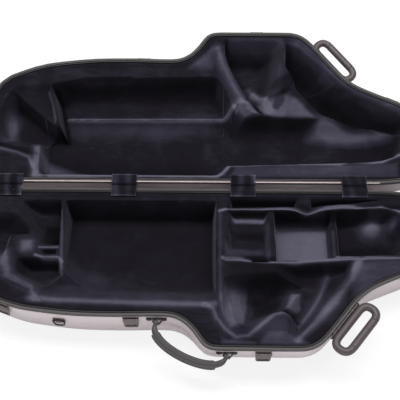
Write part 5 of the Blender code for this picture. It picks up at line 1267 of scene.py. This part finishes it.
def bracket_parts(turn):
    """The plate, its screws and two ears that are square to the handle's axis."""
    parts = [plate(rounded_box(0.025, -0.0285, -0.015, 0.003), WALL_FACE, BRACKET_FACE, 0.0007)]
    parts += heads(0.0182, BRACKET_FACE, EAR_ROW, 0.0052, 0.0026, slot=0.0014)
    c, s = math.cos(math.radians(turn)), math.sin(math.radians(turn))
    nose = [(-0.0044 * math.cos(a), 0.0052 * math.sin(a))
            for a in np.linspace(-math.pi / 2, math.pi / 2, 15)]
    side_view = [(0.024, -0.0052)] + nose + [(0.024, 0.0052)]
    for start in (-0.0089, 0.0067):
        points, faces = bar(side_view, start, start + 0.0022, 0.0003)
        x = points[:, 0] * c - points[:, 1] * s
        y = np.minimum(points[:, 0] * s + points[:, 1] * c - 0.0081, WALL_FACE - 0.0003)
        parts.append((np.column_stack([x, y, points[:, 2] + EAR_ROW]), faces))
    return parts


brackets = []
for side, (x, y, turn) in BRACKET_SEATS.items():
    brackets.append(add_piece(f"bracket_{side}", bracket_parts(HANDLE_TURN - turn), seat("base", x, y, turn),
                              bracket_coat, "base", f"handle_bracket_{side}"))
print("brackets", [len(b.data.polygons) for b in brackets])

# %% [markdown]
# Carry handle
#
# The strap ends in two eyes that turn on the brackets' pins. The grip is a padded leather sleeve that
# is sewn round the strap, so it has a waist where the stitches pull it in and it creases on the inside
# of the bend.

# %% Carry handle
HANDLE_BOW = 0.0455
HANDLE_DROOP = math.radians(25)
GRIP_SHARES = (0.15, 0.80)
GRIP_MIDDLE = 0.0008
GRIP_ACROSS = 0.0112
GRIP_UP = 0.0100
EYE_RADIUS = 0.0044
STRAP_ROWS = 160


def on_handle(points):
    """Local points of the carry handle to the world: X along the axis, Y out and down."""
    x_axis = np.array([*HANDLE_LINE / HANDLE_SPAN, 0.0])
    out = np.array([x_axis[1], -x_axis[0], 0.0])
    y_axis = out * math.cos(HANDLE_DROOP) - np.array([0, 0, math.sin(HANDLE_DROOP)])
    z_axis = np.cross(x_axis, y_axis)
    origin = np.array([*HANDLE_PIVOTS[0], EAR_ROW])
    return place_base(origin + points @ np.stack([x_axis, y_axis, z_axis]))


def bow_path(first, last, count):
    """The bow of the strap between two shares of its length, flat topped."""
    angle = math.pi * (1 - np.linspace(first, last, count))
    rise = np.maximum(np.sin(angle), 0) ** 0.8
    return np.column_stack([HANDLE_SPAN / 2 * (1 + np.cos(angle)), HANDLE_BOW * rise])


def strap_parts():
    """A padded round strap, slimmer between the ears, and an eye at each end."""
    path = even_path(bow_path(0, 1, 400), STRAP_ROWS)
    ends = np.minimum(np.arange(STRAP_ROWS), np.arange(STRAP_ROWS)[::-1])
    near = smoothstep((ends - 4) / 12)
    parts = [band(path[1:-1], (0.0050 + 0.0026 * near)[1:-1], (0.0044 + 0.0022 * near)[1:-1], 2.3, 40)]
    for x in (0.0, HANDLE_SPAN):
        parts.append(bar(circle_view((0, 0), EYE_RADIUS, 40), x - 0.0064, x + 0.0064, 0.0006))
    return parts


def stitch_row(path, height, out, length=0.0030, gap=0.0016, thread=0.00038):
    """Short thread loops along a path, at a height and a distance out from it."""
    total = np.linalg.norm(np.diff(path, axis=0), axis=1).sum()
    spots = even_path(path, int(total / (length + gap)) * 2 + 1)
    parts = []
    for start, end in zip(spots[1:-1:2], spots[2::2]):
        way = (end - start) / np.linalg.norm(end - start)
        normal = np.array([-way[1], way[0]])
        t = np.linspace(-1, 1, 7)
        line = start + (end - start) * 0.5 + np.outer(t * length / 2, way)
        line = line + normal * (out + 0.0003 * (1 - t ** 2))[:, None]
        points, faces = band(line, thread, thread, 2.0, 8)
        parts.append((points + (0, 0, height), faces))
    return parts


def grip_parts():
    """The sleeve round the strap: pinched in to a waist, creased on the inside of the bend and a little
    slimmer at its ends.
    """
    first, last = GRIP_SHARES
    rows, columns = 130, 72
    path = even_path(bow_path(first, last, 300), rows)
    out = side_normals(path)
    u = np.linspace(0, 1, rows)
    ends = smoothstep(u / 0.025) * smoothstep((1 - u) / 0.025)
    angle = np.linspace(0, 2 * math.pi, columns, endpoint=False)
    waist = 0.50 + 0.50 * np.abs(np.cos(angle)) ** 1.1
    across = GRIP_MIDDLE + GRIP_ACROSS * np.sign(np.cos(angle)) * np.abs(np.cos(angle)) ** 0.8
    rng = np.random.default_rng(11)
    crease = np.zeros(rows)
    spots = np.linspace(0.12, 0.88, 11) + rng.uniform(-0.02, 0.02, 11)
    for at, depth in zip(spots, rng.uniform(0.3, 1.0, 11)):
        crease += depth * np.exp(-((u - at) / 0.006) ** 2)
    inner = smoothstep((-np.cos(angle) - 0.1) / 0.8)
    size = (0.90 + 0.10 * ends)[:, None] - 0.05 * crease[:, None] * inner[None, :]
    reach = GRIP_MIDDLE + (across - GRIP_MIDDLE)[None, :] * size
    flat = path[:, None, :] + out[:, None, :] * reach[..., None]
    height = GRIP_UP * (waist * np.sin(angle))[None, :] * size
    return [loft(np.concatenate([flat, height[..., None]], -1))]


strap = add_piece("carry_strap", strap_parts(), on_handle, handle_leather, "carry_handle",
                  "carry_handle_strap")
grip = add_piece("carry_grip", grip_parts(), on_handle, handle_leather, "carry_handle",
                 "carry_handle_grip", smooth_degrees=60)


def add_thread(name, parts, put, body):
    """Stitches of one piece, joined in one mesh."""
    thread = join_parts(name, parts, put, sewing_thread, 40)
    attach(thread, body)
    return thread


grip_line = bow_path(GRIP_SHARES[0] + 0.02, GRIP_SHARES[1] - 0.02, 200)
threads = [add_thread("carry_strap_stitches",
                      [part for span in ((0.06, GRIP_SHARES[0] - 0.01), (GRIP_SHARES[1] + 0.01, 0.94))
                       for part in stitch_row(bow_path(*span, 60), 0.0066, 0.0)], on_handle, "carry_handle"),
           add_thread("carry_grip_stitches",
                      stitch_row(grip_line, GRIP_UP * 0.52, GRIP_MIDDLE),
                      on_handle, "carry_handle")]
print("carry handle", [len(piece.data.polygons) for piece in (strap, grip, *threads)])

# %% [markdown]
# Side handles
#
# Each half has a rigid moulded loop near its narrow end, for carrying the case upright. The grip bar is
# a thicker sleeve with a collar where it meets each arm, and the base plate is a long oval with two
# cross head screws.

# %% Side handles
SIDE_SEATS = {"base": (0.31777, -0.14151, 51.325, -0.0165), "lid": (0.31805, -0.13788, 51.176, 0.045)}
LOOP_HALF = 0.0678
LOOP_NEAR, LOOP_FAR = -0.0133, -0.0548
LOOP_RADIUS = 0.0092


def side_loop():
    """The closed loop: slimmer arms, collars and a fuller grip bar."""
    corners = [(-LOOP_HALF, LOOP_NEAR), (-LOOP_HALF, LOOP_FAR),
               (LOOP_HALF, LOOP_FAR), (LOOP_HALF, LOOP_NEAR)]
    path = even_path(rounded_outline(corners, 0.026, 16), 360, closed=True)
    outer = smoothstep((-path[:, 1] - 0.046) / 0.006)
    place = np.abs(path[:, 0])
    grip_part = outer * smoothstep((0.047 - place) / 0.0015)
    collar = outer * np.exp(-((place - 0.0490) / 0.0022) ** 4)
    lip = outer * np.exp(-((place - 0.0452) / 0.0009) ** 2)
    size = 1.08 + 0.03 * grip_part + 0.03 * collar - 0.09 * lip
    return band(path, LOOP_RADIUS * size, LOOP_RADIUS * size * 0.94, 2.1, 40, closed=True)


def side_plate():
    """The oval base plate, its two screws and a raised foot under each arm of the loop."""
    parts = [plate(rounded_box(0.058, -0.012, 0.012, 0.0119, 14), -0.0003, -0.0038, 0.0010)]
    parts += heads(0.029, -0.0038, 0.0078, 0.0036, 0.0014, slot=0.0012)
    for x in (-0.046, 0.046):
        foot = rounded_box(0.010, -0.009, 0.009, 0.0088, 8, middle=x)
        parts.append(plate(foot, -0.0036, -0.0050, 0.0006))
    return parts


side_handles = []
for half, (x, y, turn, drop) in SIDE_SEATS.items():
    put = seat(half, x, y, turn, drop)
    side_handles += [add_piece(f"{half}_side_grip", [side_loop()], put, handle_plastic, half,
                               f"{half}_side_handle_loop"),
                     add_piece(f"{half}_side_base", side_plate(), put, handle_plastic, half,
                               f"{half}_side_handle_plate")]
print("side handles", [len(p.data.polygons) for p in side_handles])

# %% [markdown]
# Strap rings
#
# A shoulder strap clips to a D ring at each end of the case. The ring's straight bar turns in the curl
# of a riveted lug.

# %% Strap rings
RING_SEATS = [(-0.36722, -0.13278, -6.155), (0.53924, 0.01018, 30.16)]
RING_DROP = -0.042
RING_WIRE = 0.0021
LUG_FACE = -0.0025
RING_Y = LUG_FACE - RING_WIRE - 0.0004


def lug_parts():
    """The lug: a plate, the curl that holds the ring's bar and two rivet heads."""
    parts = [plate(rounded_box(0.015, -0.008, 0.008, 0.0035), -0.0003, LUG_FACE, 0.0006)]
    around = np.radians(np.linspace(-100, 100, 21) + 180)
    outer, inner = RING_WIRE + 0.0020, RING_WIRE + 0.0004
    view = [(RING_Y + outer * math.cos(a), outer * math.sin(a)) for a in around]
    view += [(RING_Y + inner * math.cos(a), inner * math.sin(a)) for a in around[::-1]]
    rows = []
    for x, draw in ((-0.0055, 0.0003), (-0.0052, 0), (0.0052, 0), (0.0055, 0.0003)):
        rows.append([(x, y + draw * 0.3, z) for y, z in view])
    return parts + [ribbon_block(rows)] + heads(0.0105, LUG_FACE, 0.0050, *RIVET)


def ribbon_block(rows):
    """A C shaped side view carried along X; its ends are closed by quads between its two curves."""
    rows = np.array(rows)
    count, columns = rows.shape[:2]
    faces = grid_faces(count, columns, wrap_columns=True).tolist()
    for row, turn in ((0, 1), (count - 1, -1)):
        for k in range(columns // 2 - 1):
            quad = [k, k + 1, columns - 2 - k, columns - 1 - k]
            faces.append([row * columns + corner for corner in quad[::turn]])
    return rows.reshape(-1, 3), faces


def ring_part():
    """A D of wire with its straight bar in the lug, drawn in towards its foot."""
    half, drop, foot = 0.0159, 0.0218, 0.0159 * 0.67
    outline = rounded_outline([(-half, 0), (half, 0), (foot, -drop), (-foot, -drop)], 0.0075, 10)
    path = even_path(outline, 120, closed=True)
    points, faces = band(path, RING_WIRE, RING_WIRE, 2.0, 24, closed=True)
    return points[:, [0, 2, 1]], faces


rings = []
for number, (x, y, turn) in enumerate(RING_SEATS, start=1):
    lift = math.radians(turn)
    on_ring = seat("base", x - RING_Y * math.sin(lift), y + RING_Y * math.cos(lift), turn, RING_DROP)
    rings += [add_piece(f"ring_lug_{number}", lug_parts(), seat("base", x, y, turn, RING_DROP),
                        latch_coat, "base", f"strap_lug_{number}"),
              add_piece(f"d_ring_{number}", [ring_part()], on_ring, dark_steel, f"strap_ring_{number}",
                        f"strap_ring_{number}")]
print("strap rings", [len(p.data.polygons) for p in rings])

# %% [markdown]
# Hinges and their covers
#
# The hinge leaves and pins stay as the CAD model has them, with a worn steel finish. Over each lies a
# short strip of the lining's plush, glued to both linings. With the lid open it is pushed together, so
# it puckers across its middle and lifts a little along its edges. Its colour is lighter along its
# edges and over its puckers as painted highlights, and darker along its middle crease as painted shade.

# %% Hinge steel and covers
for number in range(1, 5):
    for part in ("base_leaf", "lid_leaf"):
        nodes[f"hinge_{number}_{part}"].material_slots[0].material = hinge_steel
    for pin in (f"hinge_{number}_pin", f"latch_{number}_pin"):
        nodes[pin].material_slots[0].material = dark_steel
for side in BRACKET_SEATS:
    nodes[f"handle_pin_{side}"].material_slots[0].material = dark_steel

COVER_PLACES = ((-0.5307, "crook_end"), (-0.22997, "trough"), (0.08174, "bell_end"),
                (0.37332, "bell_end"))
COVER_WIDTH = 0.066
COVER_CLOTH = 0.0014


def cover_line(count):
    """Side view of a cover about the hinge pin, Y outwards and Z up, from the base to the lid."""
    half = np.array([(-0.032, -0.0008), (-0.021, 0.0008), (-0.019, 0.0044), (-0.0168, 0.0044),
                     (-0.005, 0.0050)])
    turn = math.pi + LEAN
    c, s = math.cos(turn), math.sin(turn)
    other = np.column_stack([half[:, 0] * c + half[:, 1] * s, half[:, 0] * s - half[:, 1] * c])
    crown = 0.0048 * np.array([[-math.sin(LEAN / 2), math.cos(LEAN / 2)]])
    line = even_path(np.vstack([half, crown, other[::-1]]), count)
    soft = line.copy()
    for _ in range(10):
        soft[1:-1] = (soft[:-2] + 2 * soft[1:-1] + soft[2:]) / 4
    return soft


def add_cover(number, place, block):
    """One strip: its side view carried along X, with puckers, a middle crease and lifted edges."""
    rows, columns = 72, 90
    line = cover_line(rows)
    v, u = np.linspace(-1, 1, rows)[:, None], np.linspace(-1, 1, columns)[None, :]
    rng = np.random.default_rng(40 + number)
    pucker = np.zeros((rows, columns))
    for wave, phase, lean in zip(rng.uniform(2, 7, 5), rng.uniform(0, 6.28, 5), rng.uniform(-2, 2, 5)):
        pucker += np.sin(wave * u + phase + lean * v)
    height = 0.00042 * (pucker / 2) * (1 - v ** 4)
    height -= 0.0011 * np.exp(-((v + 0.05 * np.sin(3 * u + number)) / 0.07) ** 2)
    height += 0.0006 * np.exp(-((np.abs(v) - 0.22) / 0.12) ** 2)
    height += 0.0009 * smoothstep((np.abs(u) - 0.90) / 0.10)
    height *= 1 - smoothstep((np.abs(v) - 0.90) / 0.10) * 0.7
    normal = side_normals(line)
    normal = normal * np.sign(normal[rows // 2, 1] or 1)
    wander = 0.0009 * np.sin(4 * v + number) * np.sign(u) * smoothstep((np.abs(u) - 0.8) / 0.2)
    y = line[:, None, 0] + normal[:, None, 0] * height
    z = line[:, None, 1] + normal[:, None, 1] * height
    x = place + u * COVER_WIDTH / 2 + wander + 0 * v
    points = np.stack([x, HINGE_Y + y, BASE_DEPTH + z], -1)
    back = np.stack([x, HINGE_Y + y - normal[:, None, 0] * COVER_CLOTH,
                     BASE_DEPTH + z - normal[:, None, 1] * COVER_CLOTH], -1)
    faces = grid_faces(rows, columns)
    mesh_faces = np.vstack([faces, faces[:, ::-1] + rows * columns, skirt_faces(rows, columns)[:, ::-1]])
    uv = np.stack([x, v * 0.033 + 0 * u], -1).reshape(-1, 2)
    both = np.concatenate([points.reshape(-1, 3), back.reshape(-1, 3)])
    cover = add_mesh(f"hinge_cover_{number}", both, mesh_faces.tolist(), plush, uv=np.tile(uv, (2, 1)),
                     smooth_degrees=70)
    # Painted light in the cover's tone: painted highlights on its edges and puckers, painted shade in its
    # middle crease.
    tone_and_painted_light = 0.36 + 0.28 * smoothstep((np.abs(u) - 0.88) / 0.10) + 0.30 * smoothstep((np.abs(v) - 0.86) / 0.12)
    store_tone_and_painted_light(cover, np.clip(tone_and_painted_light - 0.30 * np.exp(-(v / 0.10) ** 2) + 0.06 * pucker, 0, 1))
    set_outward(cover)
    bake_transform(cover)
    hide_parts(f"hinge_{number}_cover")
    return cover


covers = [add_cover(number, *place) for number, place in enumerate(COVER_PLACES, start=1)]
print("hinge covers", [len(c.data.polygons) for c in covers])

# %% [markdown]
# Studio
#
# A pale floor and a large soft light stand in for the product studio. The camera is placed where the
# photo's rim lines meet those of the model.

# %% Floor, world, lights and camera

FLOOR_SIZE, FLOOR_Z = 6.0, -0.0005


def split_by_camera(tree, lit, seen, output):
    """Show one shader to the camera and another to all other rays."""
    rays, mixer = (tree.nodes.new(kind) for kind in ("ShaderNodeLightPath", "ShaderNodeMixShader"))
    tree.links.new(rays.outputs["Is Camera Ray"], mixer.inputs["Fac"])
    tree.links.new(lit.outputs[0], mixer.inputs[1])
    tree.links.new(seen.outputs[0], mixer.inputs[2])
    tree.links.new(mixer.outputs[0], tree.nodes[output].inputs["Surface"])


def add_floor():
    """A pale floor that glows a little for the camera, so its shadows stay soft."""
    corners = [(x * FLOOR_SIZE, y * FLOOR_SIZE, FLOOR_Z) for x, y in ((-1, -1), (1, -1), (1, 1), (-1, 1))]
    material, tree, shader = new_material("studio floor", 0.9)
    paper = noise(tree, object_vector(tree), 40.0, 4.0)
    tree.links.new(mix_colour(tree, paper, (0.93, 0.93, 0.93), (0.96, 0.96, 0.96)),
                   shader.inputs["Base Color"])
    seen = tree.nodes.new("ShaderNodeBsdfDiffuse")
    tree.links.new(mix_colour(tree, paper, (0.20, 0.20, 0.20), (0.23, 0.23, 0.23)), seen.inputs["Color"])
    glow = tree.nodes.new("ShaderNodeEmission")
    glow.inputs["Strength"].default_value = 0.80
    both = tree.nodes.new("ShaderNodeAddShader")
    tree.links.new(seen.outputs[0], both.inputs[0])
    tree.links.new(glow.outputs[0], both.inputs[1])
    split_by_camera(tree, shader, both, "Material Output")
    floor = add_mesh("studio_floor", corners, [[0, 1, 2, 3]], material)
    return floor


def add_world():
    """White for the camera and a weaker even light for everything else."""
    world = bpy.data.worlds.new("studio")
    scene.world = world
    world.use_nodes = True
    tree = world.node_tree
    tree.nodes["Background"].inputs["Color"].default_value = (1, 1, 1, 1)
    tree.nodes["Background"].inputs["Strength"].default_value = 0.34
    white = tree.nodes.new("ShaderNodeBackground")
    white.inputs["Strength"].default_value = 1.0
    split_by_camera(tree, tree.nodes["Background"], white, "World Output")


def add_light(name, place, target, size, power):
    """A rectangular soft light that looks at its target."""
    light = bpy.data.lights.new(name, "AREA")
    light.shape = "RECTANGLE"
    light.size, light.size_y = size
    light.energy = power
    item = bpy.data.objects.new(name, light)
    item.location = place
    item.rotation_euler = (Vector(target) - Vector(place)).to_track_quat("-Z", "Y").to_euler()
    scene.collection.objects.link(item)
    return item


CAMERA_TILT = math.radians(56.0)
CAMERA_YAW = math.radians(1.425)
CAMERA_ROLL = math.radians(-0.745)
CAMERA_DISTANCE = 2.093
CAMERA_TARGET = Vector((-0.030, 0.190, 0.115))
CAMERA_LENS = 72.55


def add_camera():
    """A camera on a line from the target, tilted, yawed and rolled."""
    tilt, yaw, roll = CAMERA_TILT, CAMERA_YAW, CAMERA_ROLL
    away = Vector((math.sin(yaw) * math.cos(tilt), -math.cos(yaw) * math.cos(tilt), math.sin(tilt)))
    right = Vector((math.cos(yaw), math.sin(yaw), 0))
    up = away.cross(right)
    across = right * math.cos(roll) + up * math.sin(roll)
    upright = up * math.cos(roll) - right * math.sin(roll)
    data = bpy.data.cameras.new("camera")
    data.lens = CAMERA_LENS
    data.sensor_width = 36.0
    camera = bpy.data.objects.new("camera", data)
    turn = Matrix((across, upright, away)).transposed().to_4x4()
    camera.matrix_world = Matrix.Translation(CAMERA_TARGET + away * CAMERA_DISTANCE) @ turn
    scene.collection.objects.link(camera)
    scene.camera = camera
    return camera


add_floor()
add_world()
add_light("soft_top", (0.0, 0.75, 3.0), (0, 0.25, 0), (3.4, 1.0), 92)
add_light("front_fill", (0.0, -3.0, 0.55), (0, 0.0, 0.08), (3.4, 0.7), 30)
add_camera()
scene.view_settings.view_transform = "Standard"
print("studio ready")
